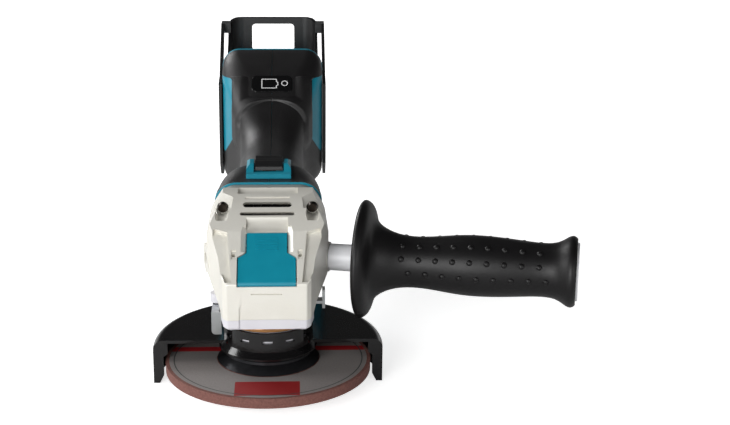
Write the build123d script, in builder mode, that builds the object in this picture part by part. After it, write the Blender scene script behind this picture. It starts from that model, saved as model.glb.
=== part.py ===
"""Cordless angle grinder with a quick-lock wheel, in millimetres.

The origin is on the spindle axis at the wheel's working face. +Z points up along the spindle,
+Y runs along the motor axis to the battery end and +X points to the side handle.
"""

import os
from math import atan, atan2, cos, degrees, hypot, radians, sin, tan

from build123d import *

os.makedirs("parts", exist_ok=True)

# Clearances
RUN_FIT = 0.05  # shaft in bearing, radial
SLIP_FIT = 0.1  # fixed piece in its seat
MOVE_GAP = 0.4  # between pieces that move past each other

# Wheel and quick lock
WHEEL_R = 62.5
WHEEL_T = 6.0
WHEEL_BORE_R = 13.0
WHEEL_DISH = 4.5  # how far the wheel's centre is drawn up
DISH_TOP_R = 23.0
DISH_FOOT_R = 30.5
HUB_PLATE_T = 0.8
HUB_PLATE_BORE_R = 11.2
LOCK_FLANGE_R = 26.5
LOCK_FLANGE_T = 2.2
JAW_T = 2.2
JAW_W = 9.0
JAW_REACH = 12.5

# Spindle and bevel gears
SPINDLE_R = 6.0
SPINDLE_TOP_R = 5.0
ROD_R = 2.6
MOTOR_Z = 70.0
GEAR_MODULE = 1.0
CROWN_TEETH = 36
PINION_TEETH = 12
TOOTH_SHARE = 0.40  # tooth thickness as a share of the pitch
GEAR_FACE = 6.0
LOWER_BEARING_R = 14.0
LOWER_BEARING_T = 8.0
UPPER_BEARING_R = 9.5
UPPER_BEARING_T = 7.0

# Bearing box and guard
NECK_R = 24.8
NECK_BOTTOM = 20.0
BOX_BOTTOM = 36.8
BOX_TOP = 42.6
COLLAR_T = 2.0
COLLAR_TOP = 31.6
GUARD_T = 2.0
GUARD_WHEEL_GAP = 5.5  # from the wheel's rim to the guard's skirt
GUARD_LIP_GAP = 1.0  # from the wheel's rim to the turned-in end lips
GUARD_R = WHEEL_R + GUARD_WHEEL_GAP + GUARD_T
GUARD_TOP = 19.6
GUARD_SKIRT_END = -8.0
GUARD_FRONT_Y = -6.0
GUARD_EDGE_ROUND = 6.0
RING_R = 30.0
RING_BOTTOM = 14.6
COLLAR_SLOTS = 12
COLLAR_SLOT_L = 6.0
COLLAR_SLOT_H = 1.8
COLLAR_SLOT_Z = 25.0

# Gear housing
HEAD_FRONT_Y = -33.2
HEAD_REAR_Y = 44.0
HEAD_TOP = 101.5
HEAD_HALF = 37.3
NOSE_HALF = 25.6
FLANGE_HALF = 34.0
FLANGE_BOTTOM = 38.4
FLANGE_CORNER_R = 14.0
HEAD_SCREW_X = 27.3
HEAD_SCREW_Z = 95.4
HEAD_SCREW_Y = 22.0
SCREW_HEAD_R = 3.5
SCREW_HEAD_T = 2.6
SCREW_R = 2.0
BOSS_R = 9.2
BOSS_Y = 12.0
BOSS_Z = 66.5
HANDLE_THREAD_R = 3.4  # tapping size of an M8 thread
HANDLE_THREAD_DEPTH = 12.0
HANDLE_LEAN = 12.2  # degrees that each handle seat points forward
HEAD_EDGE_R = 1.6
NOSE_PANEL_HALF = 16.4
NOSE_PANEL_TOP = 53.4
NOSE_PANEL_DEPTH = 1.2
NOSE_GROOVE_Z = 59.0
NOSE_GROOVE_L = 18.4
NOSE_GROOVE_W = 0.9
AIR_SLOTS = ((7.9, 95.3, 16.4, 2.5), (17.2, 98.3, 14.8, 4.2))  # Y, Z, half length, width
AIR_SLOT_DEPTH = 8.0
SCOOP_R = 9.6
DUCT_HALF = 16.8
DUCT_BOTTOM = 84.0
DUCT_TOP = 96.2
DUCT_FRONT_Y = 6.0
CROWN_GROOVE_Y = 25.4
CROWN_GROOVE_HALF = 13.6
COVE_Y = 37.5
COVE_R = 8.0
COVE_DEPTH = 3.0
COVE_HALF = 18.5
SIDE_PANEL_DEPTH = 2.4
FLARE_W = 3.6
FLARE_DEPTH = 1.6
FLARE_RISE = 1.4
NOTCH_X = 19.6
NOTCH_V = 20.8

# Release lever, rocker and rod
LEVER_LOW_Y = -33.0
LEVER_LOW_Z = 64.0
LEVER_HIGH_Y = -6.0
LEVER_HIGH_Z = 87.6
LEVER_T = 3.0
LEVER_HALF = 16.9
LEVER_TAB_HALF = 11.9
LEVER_WIDE_END = 18.7
LEVER_NECK_START = 22.3
LEVER_BARREL_R = 3.2
LEVER_PIN_R = 1.3
LEVER_GAP = 0.6
ROCKER_PIN_Y = -9.0
ROCKER_PIN_Z = 79.0
ROCKER_PIN_R = 1.2
ROCKER_HALF = 3.5

# Motor
SHAFT_R = 4.0
PINION_SEAT_R = 3.0
MOTOR_BEARING_R = 11.0
MOTOR_BEARING_T = 8.0
MOTOR_BEARING_Y = 33.0
REAR_BEARING_R = 8.0
REAR_BEARING_T = 6.0
REAR_BEARING_Y = 107.0
FAN_R = 26.0
FAN_Y = 45.0
FAN_T = 7.5
FAN_BLADES = 18
STATOR_R = 25.2
STATOR_BORE_R = 12.6
STATOR_Y = 58.0
STATOR_L = 32.0
STATOR_POLES = 6
ROTOR_R = 12.0
BAFFLE_BORE_R = 28.0

# Motor housing, grip and battery end
BODY_FRONT_Y = 53.0
BODY_REAR_Y = 288.0
DRUM_END_Y = 96.0
DRUM_HALF = 34.0
DRUM_TOP = 102.3
DRUM_BOTTOM = 38.2
GRIP_START_Y = 128.0
GRIP_END_Y = 205.0
GRIP_HALF = 22.8
GRIP_TOP = 93.0
GRIP_BOTTOM = 47.0
GRIP_CORNER_R = 17.5
BELL_HALF = 38.9
BELL_TOP = 144.8
BELL_BOTTOM = 40.0
BELL_FULL_Y = 272.0
BELL_CORNER_R = 14.0
BODY_WALL = 2.4
COVER_T = 1.4
REAR_WALL = 4.0

# Switch
SWITCH_FRAME_Y = 66.0
SWITCH_FRAME_L = 31.0
SWITCH_FRAME_HALF = 14.3
SWITCH_FRAME_ARM = 4.6
SWITCH_FRAME_TOP = 107.6
KNOB_TOP = 109.4
KNOB_Y = 76.0
KNOB_L = 19.5
KNOB_HALF = 8.8
KNOB_TRAVEL = 6.0
STEM_HALF = 4.2
LINK_T = 1.3

# Indicator panel on the sloped face of the battery end
PANEL_Y = 248.0
PANEL_Z = 124.8
PANEL_SLOPE = 42.3
PANEL_HALF = 15.4
PANEL_L = 15.2
PANEL_T = 2.0
BUTTON_R = 2.6
BUTTON_X = 9.6

# Battery guard, rails and terminals
SIDE_PLATE_OUT = 41.4
HOOP_HALF = 36.0
HOOP_REAR_Y = 348.0
HOOP_TOP = 160.5
HOOP_WALL = 2.4
HOOP_BOTTOM = 122.0
WINDOW_HALF = 17.2
WINDOW_BOTTOM = 132.5
WINDOW_TOP = 155.0
RAIL_X = 27.0
RAIL_W = 6.0
RAIL_BOTTOM = 50.0
RAIL_TOP = 126.0
RAIL_DEPTH = 11.0
TERMINAL_HALF = 17.0
TERMINAL_BOTTOM = 62.0
TERMINAL_TOP = 100.0
TERMINAL_DEPTH = 9.0

# Side handle
HANDLE_ROD_R = 8.2
HANDLE_ROD_SHOWN = 19.0
HANDLE_FLANGE_R = 36.0
HANDLE_LENGTH = 149.5
HANDLE_NECK_R = 15.7
HANDLE_BELLY_R = 18.1
HANDLE_END_R = 21.4


def polygon(points):
    """A closed outline of straight runs as a face in the current sketch."""
    Polygon(*points, align=None)


def mirrored(points):
    """The right half of an outline and its mirror image across the sketch's vertical axis."""
    return points + [(-x, y) for x, y in reversed(points) if abs(x) > 1e-6]


def ring_profile(inner, outer, low, high):
    """A rectangular ring section, radius across and height up, in the current sketch."""
    polygon([(inner, low), (outer, low), (outer, high), (inner, high)])


def bearing_profile(bore, outer, low, width):
    """A ball bearing's section: two rings with a shield set back between them."""
    race = (outer - bore) * 0.28
    inset = 0.5
    high = low + width
    polygon(
        [
            (bore, low),
            (bore + race, low),
            (bore + race, low + inset),
            (outer - race, low + inset),
            (outer - race, low),
            (outer, low),
            (outer, high),
            (outer - race, high),
            (outer - race, high - inset),
            (bore + race, high - inset),
            (bore + race, high),
            (bore, high),
        ]
    )


def tooth_outline(teeth, root_r, tip_r, first):
    """A straight-sided toothed outline. first is the angle of one tooth's middle in degrees."""
    pitch = 360 / teeth
    root_half = pitch * TOOTH_SHARE * 0.80
    tip_half = pitch * TOOTH_SHARE * 0.22
    points = []
    for number in range(teeth):
        middle = first + pitch * number
        for radius, turn in (
            (root_r, -root_half),
            (tip_r, -tip_half),
            (tip_r, tip_half),
            (root_r, root_half),
        ):
            angle = radians(middle + turn)
            points.append((radius * cos(angle), radius * sin(angle)))
    return points


# Motor axis and the flat sketch plane through it, for (radius, Y) outlines
motor_axis = Axis((0, 0, MOTOR_Z), (0, 1, 0))
motor_plane = Plane.XY.offset(MOTOR_Z)

# Sloped plane of the lever's top face: local X across, local Y up the slope
lever_run = LEVER_HIGH_Y - LEVER_LOW_Y
lever_rise = LEVER_HIGH_Z - LEVER_LOW_Z
lever_angle = atan2(lever_rise, lever_run)
lever_length = hypot(lever_run, lever_rise)
lever_plane = Plane(
    origin=(0, LEVER_LOW_Y, LEVER_LOW_Z),
    x_dir=(1, 0, 0),
    z_dir=(0, -sin(lever_angle), cos(lever_angle)),
)
pivot_y = LEVER_LOW_Y + LEVER_BARREL_R * (cos(lever_angle) + sin(lever_angle))
pivot_z = LEVER_LOW_Z + LEVER_BARREL_R * (sin(lever_angle) - cos(lever_angle))

# Bevel gears: both pitch cones meet at the point where the two axes cross
crown_pitch_r = GEAR_MODULE * CROWN_TEETH / 2
pinion_pitch_r = GEAR_MODULE * PINION_TEETH / 2
cone_length = hypot(crown_pitch_r, pinion_pitch_r)
crown_angle = atan(CROWN_TEETH / PINION_TEETH)
pinion_angle = atan(PINION_TEETH / CROWN_TEETH)
tip_turn = atan(GEAR_MODULE / cone_length)
root_turn = atan(1.25 * GEAR_MODULE / cone_length)
pinion_back_y = crown_pitch_r + 0.6
pinion_front_y = crown_pitch_r - GEAR_FACE * cos(pinion_angle)
crown_rim_r = crown_pitch_r + 1.2
crown_inner_r = crown_pitch_r - GEAR_FACE
crown_low = MOTOR_Z - (crown_rim_r + 1.5) / tan(crown_angle - root_turn)
crown_high = MOTOR_Z - crown_inner_r / tan(crown_angle + tip_turn)
crown_back = crown_low - 4.0
crown_hub_r = 11.0
cavity_r = crown_rim_r + 2.3
cavity_top = crown_high + 0.8

# Heights down the spindle
dish_top = WHEEL_T + WHEEL_DISH
hub_plate_low = dish_top + RUN_FIT
hub_plate_high = hub_plate_low + HUB_PLATE_T
lock_flange_low = hub_plate_high + RUN_FIT
lock_flange_high = lock_flange_low + LOCK_FLANGE_T
lock_neck_r = 13.0
lock_neck_top = NECK_BOTTOM + 3.0
lock_body_r = HUB_PLATE_BORE_R - MOVE_GAP
lock_body_low = 2.0
spindle_low = lock_flange_high
jaw_high = hub_plate_low - SLIP_FIT
jaw_low = jaw_high - JAW_T
lower_bearing_low = NECK_BOTTOM + 6.0
lower_bearing_high = lower_bearing_low + LOWER_BEARING_T
upper_bearing_low = cavity_top + 0.3
upper_bearing_high = upper_bearing_low + UPPER_BEARING_T
spindle_high = upper_bearing_high + 0.4
rocker_floor = upper_bearing_high + 2.2
rocker_low = rocker_floor + 1.6
rod_high = rocker_low - SLIP_FIT
rod_low = jaw_high + 1.9

# Side handle seats lean forward on both sides of the head
lean = radians(HANDLE_LEAN)
handle_dir = (cos(lean), -sin(lean), 0)
left_seat_dir = (-cos(lean), -sin(lean), 0)
boss_x = HEAD_HALF + 0.4
handle_start = (boss_x, BOSS_Y, BOSS_Z)
left_seat = (-boss_x, BOSS_Y, BOSS_Z)
handle_axis = Axis(handle_start, handle_dir)
handle_plane = Plane(origin=handle_start, x_dir=handle_dir, z_dir=(sin(lean), cos(lean), 0))

# Cross-sections of the motor housing along Y: half width, bottom, top and corner radius
taper_y = (DRUM_END_Y + GRIP_START_Y) / 2
grip_mid_y = (GRIP_START_Y + GRIP_END_Y) / 2
flare_y = GRIP_END_Y + 18
throat_y = GRIP_END_Y + 32
mouth_y = (throat_y + BELL_FULL_Y) / 2
body_stations = [
    (BODY_FRONT_Y, DRUM_HALF, DRUM_BOTTOM, DRUM_TOP, FLANGE_CORNER_R),
    ((BODY_FRONT_Y + DRUM_END_Y) / 2, DRUM_HALF, DRUM_BOTTOM, DRUM_TOP, FLANGE_CORNER_R + 3),
    (DRUM_END_Y, DRUM_HALF - 1.2, DRUM_BOTTOM + 0.5, DRUM_TOP - 0.4, FLANGE_CORNER_R + 6),
    (
        taper_y,
        (DRUM_HALF + GRIP_HALF) / 2,
        (DRUM_BOTTOM + GRIP_BOTTOM) / 2,
        (DRUM_TOP + GRIP_TOP) / 2,
        GRIP_CORNER_R + 1,
    ),
    (GRIP_START_Y, GRIP_HALF + 0.2, GRIP_BOTTOM, GRIP_TOP + 0.2, GRIP_CORNER_R),
    (grip_mid_y, GRIP_HALF - 0.3, GRIP_BOTTOM + 0.4, GRIP_TOP - 0.3, GRIP_CORNER_R),
    (GRIP_END_Y, GRIP_HALF, GRIP_BOTTOM, GRIP_TOP + 1.5, GRIP_CORNER_R),
    (flare_y, GRIP_HALF + 0.5, GRIP_BOTTOM - 0.5, GRIP_TOP + 9.5, GRIP_CORNER_R - 0.5),
    (throat_y, GRIP_HALF + 3.0, GRIP_BOTTOM - 1.5, PANEL_Z - 10.0, GRIP_CORNER_R - 1),
    (mouth_y, BELL_HALF - 5.5, BELL_BOTTOM + 2.5, BELL_TOP - 13.5, BELL_CORNER_R + 2),
    (BELL_FULL_Y, BELL_HALF - 0.5, BELL_BOTTOM + 0.8, BELL_TOP - 2.6, BELL_CORNER_R),
    (BODY_REAR_Y, BELL_HALF, BELL_BOTTOM, BELL_TOP, BELL_CORNER_R),
]


def body_form(inset, front=0.0, rear=0.0):
    """Right half of the motor housing's outer form, drawn in by an inset."""
    with BuildPart() as form:
        for y, half, bottom, top, corner in body_stations:
            place = y
            if y == BODY_FRONT_Y:
                place = y - front
            if y == BODY_REAR_Y:
                place = y - rear
            with BuildSketch(Plane.XZ.offset(-place)):
                with Locations((0, (bottom + top) / 2)):
                    RectangleRounded(
                        2 * (half - inset),
                        top - bottom - 2 * inset,
                        corner - inset,
                    )
                with Locations((-3.0, (bottom + top) / 2)):
                    Rectangle(
                        2 * half,
                        2 * (top - bottom),
                        align=(Align.MIN, Align.CENTER),
                        mode=Mode.INTERSECT,
                    )
        loft()
        with Locations((0, 0, MOTOR_Z)):
            Box(
                2 * BELL_HALF,
                3 * BODY_REAR_Y,
                2 * BELL_TOP,
                align=(Align.MIN, Align.CENTER, Align.CENTER),
                mode=Mode.INTERSECT,
            )
    return form.part


def flange_outline(inset):
    """The rounded square that the head, the baffle and the motor housing share."""
    with Locations((0, (FLANGE_BOTTOM + HEAD_TOP) / 2)):
        RectangleRounded(
            2 * (FLANGE_HALF - inset),
            HEAD_TOP - FLANGE_BOTTOM - 2 * inset,
            FLANGE_CORNER_R - inset,
        )


lower_screw_z = 2 * MOTOR_Z - HEAD_SCREW_Z
lower_screw_y = HEAD_REAR_Y - 6.0
head_screw_end = BODY_FRONT_Y + 12.0
head_screws = [
    (side * HEAD_SCREW_X, y, z)
    for side in (-1, 1)
    for y, z in ((HEAD_SCREW_Y, HEAD_SCREW_Z), (lower_screw_y, lower_screw_z))
]


def along_y(x, y, z):
    """A sketch plane at a point, facing back along +Y."""
    return Plane(origin=(x, y, z), x_dir=(1, 0, 0), z_dir=(0, 1, 0))


def lever_outline(gap):
    """The release lever's outline on its sloped plane, grown by a gap."""
    polygon(
        mirrored(
            [
                (LEVER_HALF + gap, LEVER_BARREL_R - gap),
                (LEVER_HALF + gap, LEVER_WIDE_END + gap / 2),
                (LEVER_TAB_HALF + gap, LEVER_NECK_START + gap / 2),
                (LEVER_TAB_HALF + gap, lever_length + gap),
            ]
        )
    )


def nose_panel():
    """The arched panel that runs down the nose of the head and the bearing box."""
    with Locations((0, NOSE_PANEL_TOP - 2 * NOSE_PANEL_HALF)):
        RectangleRounded(
            2 * NOSE_PANEL_HALF, 4 * NOSE_PANEL_HALF, 4.0
        )


rocker_outline = [
    (ROCKER_PIN_Y - 8.0, ROCKER_PIN_Z - 8.3),
    (ROCKER_PIN_Y, ROCKER_PIN_Z - 2.0),
    (ROCKER_PIN_Y + 3.5, rocker_low),
    (ROD_R, rocker_low),
    (ROD_R, rocker_low + 2.2),
    (ROCKER_PIN_Y + 1.0, ROCKER_PIN_Z + 1.9),
    (ROCKER_PIN_Y - 8.0, ROCKER_PIN_Z - 5.7),
]

# Cast gear housing: three outlines crossed, then the pockets and bores
with BuildPart() as gear_housing:
    with BuildSketch(Plane.YZ):
        crest_y = LEVER_HIGH_Y
        crest_z = LEVER_HIGH_Z + 1.1
        with BuildLine():
            Polyline(
                (HEAD_REAR_Y, HEAD_TOP),
                (HEAD_REAR_Y, BOX_TOP + SLIP_FIT),
                (HEAD_FRONT_Y, BOX_TOP + SLIP_FIT),
                (HEAD_FRONT_Y, LEVER_LOW_Z + 0.9),
                (crest_y, crest_z),
            )
            ThreePointArc(
                (crest_y, crest_z),
                (12.0, HEAD_TOP - 4.6),
                (HEAD_REAR_Y, HEAD_TOP),
            )
        make_face()
    extrude(amount=HEAD_HALF + 5, both=True)
    with BuildSketch(Plane.XY.offset(BOX_TOP)):
        polygon(
            mirrored(
                [
                    (NOSE_HALF - 2.2, HEAD_FRONT_Y),
                    (NOSE_HALF + 0.4, HEAD_FRONT_Y + 3.4),
                    (NOSE_HALF + 3.0, HEAD_FRONT_Y + 17.0),
                    (HEAD_HALF - 0.8, BOSS_Y - 6.0),
                    (HEAD_HALF, BOSS_Y + 9.0),
                    (HEAD_HALF - 1.5, HEAD_REAR_Y - 9.0),
                    (FLANGE_HALF, HEAD_REAR_Y),
                ]
            )
        )
    extrude(amount=HEAD_TOP, mode=Mode.INTERSECT)
    with BuildSketch(Plane.XZ.offset(-HEAD_FRONT_Y + 5)):
        polygon(
            mirrored(
                [
                    (NOSE_HALF + 0.6, BOX_TOP - 2.0),
                    (NOSE_HALF + 4.0, BOX_TOP + 5.0),
                    (HEAD_HALF - 1.0, BOSS_Z - 8.0),
                    (HEAD_HALF, BOSS_Z + 3.0),
                    (HEAD_HALF, MOTOR_Z + 10.0),
                    (HEAD_HALF - 2.0, MOTOR_Z + 20.0),
                    (HEAD_HALF - 9.5, HEAD_TOP),
                ]
            )
        )
    extrude(amount=-(HEAD_REAR_Y - HEAD_FRONT_Y + 10), mode=Mode.INTERSECT)
    nose_edges = gear_housing.edges().filter_by(
        lambda edge: edge.center().Y < HEAD_FRONT_Y + 18 and edge.center().Z > BOX_TOP + 4
    )
    fillet(nose_edges, radius=HEAD_EDGE_R)
    # Rear flange that meets the air baffle
    with BuildSketch(Plane.XZ.offset(-HEAD_REAR_Y)):
        flange_outline(0)
    extrude(amount=6.0)
    # Sunk panel and thin groove on the nose
    with BuildSketch(Plane.XZ.offset(-HEAD_FRONT_Y)):
        nose_panel()
    extrude(amount=-NOSE_PANEL_DEPTH, mode=Mode.SUBTRACT)
    with BuildSketch(Plane.XZ.offset(-HEAD_FRONT_Y)):
        with Locations((0, NOSE_GROOVE_Z)):
            SlotOverall(NOSE_GROOVE_L, NOSE_GROOVE_W)
    extrude(amount=-NOSE_PANEL_DEPTH, mode=Mode.SUBTRACT)
    # Handle seats on both sides
    for seat, direction in ((handle_start, handle_dir), (left_seat, left_seat_dir)):
        with BuildSketch(Plane(origin=seat, z_dir=direction)):
            Circle(BOSS_R)
        extrude(amount=-12)
    # Pocket for the lever and its barrel
    with BuildSketch(lever_plane.offset(-LEVER_T - LEVER_GAP)):
        lever_outline(LEVER_GAP)
    extrude(amount=LEVER_T + 12, mode=Mode.SUBTRACT)
    with BuildSketch(Plane.YZ.offset(-LEVER_HALF - LEVER_GAP)):
        with Locations((pivot_y, pivot_z)):
            Circle(LEVER_BARREL_R + LEVER_GAP)
    extrude(amount=2 * (LEVER_HALF + LEVER_GAP), mode=Mode.SUBTRACT)
    # Relief ahead of the hinge, so that the lever can swing right over
    with BuildSketch(Plane.XY.offset(LEVER_LOW_Z - LEVER_GAP)):
        with Locations((0, pivot_y)):
            Rectangle(2 * (LEVER_HALF + LEVER_GAP), 12, align=(Align.CENTER, Align.MAX))
    extrude(amount=10, mode=Mode.SUBTRACT)
    # Finger scoop behind the lever's tab
    with BuildSketch(Plane.YZ.offset(-LEVER_TAB_HALF - LEVER_GAP)):
        with Locations((LEVER_HIGH_Y + 1.5, LEVER_HIGH_Z + SCOOP_R)):
            Circle(SCOOP_R)
    extrude(amount=2 * (LEVER_TAB_HALF + LEVER_GAP), mode=Mode.SUBTRACT)
    # Flared walls beside the lever's tab, so that a finger reaches under it
    for side in (-1, 1):
        with BuildSketch(
            Plane(
                origin=lever_plane.from_local_coords((0, LEVER_NECK_START, 0)),
                x_dir=(1, 0, 0),
                z_dir=(0, -cos(lever_angle), -sin(lever_angle)),
            )
        ):
            polygon(
                [
                    (side * (LEVER_TAB_HALF + LEVER_GAP - 0.2), -FLARE_DEPTH),
                    (side * (LEVER_TAB_HALF + LEVER_GAP), -FLARE_DEPTH),
                    (side * (LEVER_TAB_HALF + LEVER_GAP + FLARE_W), FLARE_RISE),
                    (side * (LEVER_TAB_HALF + LEVER_GAP + FLARE_W), 2 * FLARE_RISE + 6.0),
                    (side * (LEVER_TAB_HALF + LEVER_GAP - 0.2), 2 * FLARE_RISE + 6.0),
                ]
            )
        extrude(amount=-(lever_length - LEVER_NECK_START + 5.0), mode=Mode.SUBTRACT)
    # Two air slots across the crown of the head, and the duct that feeds them from the fan
    for slot_y, slot_z, slot_half, slot_tall in AIR_SLOTS:
        with BuildSketch(
            Plane(origin=(0, slot_y, slot_z), x_dir=(1, 0, 0), z_dir=(0, -0.87, 0.5))
        ):
            SlotOverall(2 * slot_half, slot_tall)
        extrude(amount=AIR_SLOT_DEPTH, both=True, mode=Mode.SUBTRACT)
    with BuildSketch(Plane.YZ.offset(-DUCT_HALF)):
        polygon(
            [
                (DUCT_FRONT_Y, DUCT_BOTTOM),
                (HEAD_REAR_Y, DUCT_BOTTOM),
                (HEAD_REAR_Y, DUCT_TOP),
                (DUCT_FRONT_Y + 16.0, DUCT_TOP),
                (DUCT_FRONT_Y + 11.0, DUCT_TOP - 0.8),
                (DUCT_FRONT_Y + 6.0, DUCT_TOP - 2.5),
                (DUCT_FRONT_Y, DUCT_TOP - 5.7),
            ]
        )
    extrude(amount=2 * DUCT_HALF, mode=Mode.SUBTRACT)
    # Groove and cove across the crown, between the screw pads
    with BuildSketch(Plane.YZ.offset(-CROWN_GROOVE_HALF)):
        with Locations((CROWN_GROOVE_Y, HEAD_TOP - 1.2)):
            Rectangle(2.6, 3.4)
    extrude(amount=2 * CROWN_GROOVE_HALF, mode=Mode.SUBTRACT)
    with BuildSketch(Plane.YZ.offset(-COVE_HALF)):
        with Locations((COVE_Y, HEAD_TOP + COVE_R - COVE_DEPTH)):
            Circle(COVE_R)
    extrude(amount=2 * COVE_HALF, mode=Mode.SUBTRACT)
    # Flats for the upper screws and sunk panels beside the lever
    for side in (-1, 1):
        with BuildSketch(
            Plane(
                origin=(side * (HEAD_SCREW_X + 1.5), HEAD_SCREW_Y + 7.0, HEAD_SCREW_Z + 3.4),
                x_dir=(1, 0, 0),
                z_dir=(side * 0.30, -0.38, 0.87),
            )
        ):
            Rectangle(16.5, 30.0)
        extrude(amount=14, mode=Mode.SUBTRACT)
        with BuildSketch(lever_plane.offset(-SIDE_PANEL_DEPTH)):
            polygon(
                [
                    (side * 20.6, 2.0),
                    (side * 24.2, 2.0),
                    (side * 34.0, 27.0),
                    (side * 31.5, 39.0),
                    (side * 23.6, 36.0),
                    (side * 22.8, 26.0),
                ]
            )
        extrude(amount=12, mode=Mode.SUBTRACT)
        # Notch at the lever's shoulder with the hole that a hinge tool goes through
        with BuildSketch(lever_plane.offset(-0.4)):
            with Locations((side * NOTCH_X, NOTCH_V)):
                Rectangle(2.8, 6.4)
        extrude(amount=12, mode=Mode.SUBTRACT)
        with BuildSketch(lever_plane):
            with Locations((side * NOTCH_X, NOTCH_V)):
                Circle(1.1)
        extrude(amount=-4.0, mode=Mode.SUBTRACT)
    # Lever hinge pin and rocker pin holes
    with BuildSketch(Plane.YZ.offset(-LEVER_HALF - 4.0)):
        with Locations((pivot_y, pivot_z)):
            Circle(LEVER_PIN_R + RUN_FIT)
        with Locations((ROCKER_PIN_Y, ROCKER_PIN_Z)):
            Circle(ROCKER_PIN_R + RUN_FIT)
    extrude(amount=2 * LEVER_HALF + 8.0, mode=Mode.SUBTRACT)
    # Channel for the rocker, open to the lever's pocket
    with BuildSketch(Plane.YZ.offset(-ROCKER_HALF - MOVE_GAP)):
        polygon(
            [
                (ROCKER_PIN_Y - 9.2, ROCKER_PIN_Z - 10.6),
                (ROCKER_PIN_Y - 0.6, rocker_floor - 0.9),
                (ROD_R + 1.4, rocker_floor),
                (ROD_R + 1.4, rocker_low + 3.2),
                (LEVER_HIGH_Y, rocker_low + 3.2),
                (LEVER_HIGH_Y - 2.5, LEVER_HIGH_Z - 3.0),
                (ROCKER_PIN_Y - 9.2, ROCKER_PIN_Z - 2.5),
            ]
        )
    extrude(amount=2 * (ROCKER_HALF + MOVE_GAP), mode=Mode.SUBTRACT)
    # Gear chamber, upper bearing seat and the rod's bore
    with BuildSketch(Plane.XY.offset(BOX_TOP - 8)):
        Circle(cavity_r)
    extrude(amount=cavity_top - BOX_TOP + 8, mode=Mode.SUBTRACT)
    with BuildSketch(Plane.XY.offset(cavity_top - 1)):
        Circle(UPPER_BEARING_R + SLIP_FIT)
    extrude(amount=upper_bearing_high + 0.8 - cavity_top + 1, mode=Mode.SUBTRACT)
    with BuildSketch(Plane.XY.offset(cavity_top)):
        Circle(ROD_R + MOVE_GAP)
    extrude(amount=rocker_floor + 0.5 - cavity_top, mode=Mode.SUBTRACT)
    # Pinion bore, front motor bearing seat and fan recess
    with BuildSketch(motor_plane):
        polygon(
            [
                (0, UPPER_BEARING_R + 2.0),
                (pinion_pitch_r + 3.2, UPPER_BEARING_R + 2.0),
                (pinion_pitch_r + 3.2, MOTOR_BEARING_Y - SLIP_FIT),
                (MOTOR_BEARING_R + SLIP_FIT, MOTOR_BEARING_Y - SLIP_FIT),
                (MOTOR_BEARING_R + SLIP_FIT, HEAD_REAR_Y + 1),
                (0, HEAD_REAR_Y + 1),
            ]
        )
    revolve(axis=motor_axis, mode=Mode.SUBTRACT)
    # Holes for the four long screws and for the bearing box screws
    for x, y, z in head_screws:
        with BuildSketch(along_y(x, y, z)):
            Circle(SCREW_R + RUN_FIT)
        extrude(amount=40, mode=Mode.SUBTRACT)
        with BuildSketch(along_y(x, y, z)):
            Circle(SCREW_HEAD_R + 0.5)
        extrude(amount=-20, mode=Mode.SUBTRACT)
    # Tapped holes for the side handle
    for seat, direction in ((handle_start, handle_dir), (left_seat, left_seat_dir)):
        with BuildSketch(Plane(origin=seat, z_dir=direction)):
            Circle(HANDLE_THREAD_R)
        extrude(amount=-HANDLE_THREAD_DEPTH, mode=Mode.SUBTRACT)


# Screws that hold the head to the motor housing
with BuildPart() as gear_housing_screws:
    for x, y, z in head_screws:
        with BuildSketch(along_y(x, y, z)):
            Circle(SCREW_R)
        extrude(amount=head_screw_end - y)
        with BuildSketch(along_y(x, y, z)):
            Circle(SCREW_HEAD_R)
        extrude(amount=-SCREW_HEAD_T, taper=18)

# Air baffle between the head and the motor housing, around the fan
with BuildPart() as air_baffle:
    with BuildSketch(Plane.XZ.offset(-HEAD_REAR_Y - SLIP_FIT)):
        flange_outline(0.6)
    extrude(amount=-(BODY_FRONT_Y - HEAD_REAR_Y - 2 * SLIP_FIT))
    with BuildSketch(motor_plane):
        polygon(
            [
                (0, HEAD_REAR_Y),
                (BAFFLE_BORE_R, HEAD_REAR_Y),
                (BAFFLE_BORE_R, BODY_FRONT_Y),
                (0, BODY_FRONT_Y),
            ]
        )
    revolve(axis=motor_axis, mode=Mode.SUBTRACT)
    for x, y, z in head_screws:
        with BuildSketch(along_y(x, HEAD_REAR_Y, z)):
            Circle(SCREW_R + RUN_FIT)
        extrude(amount=BODY_FRONT_Y - HEAD_REAR_Y, mode=Mode.SUBTRACT)

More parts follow.
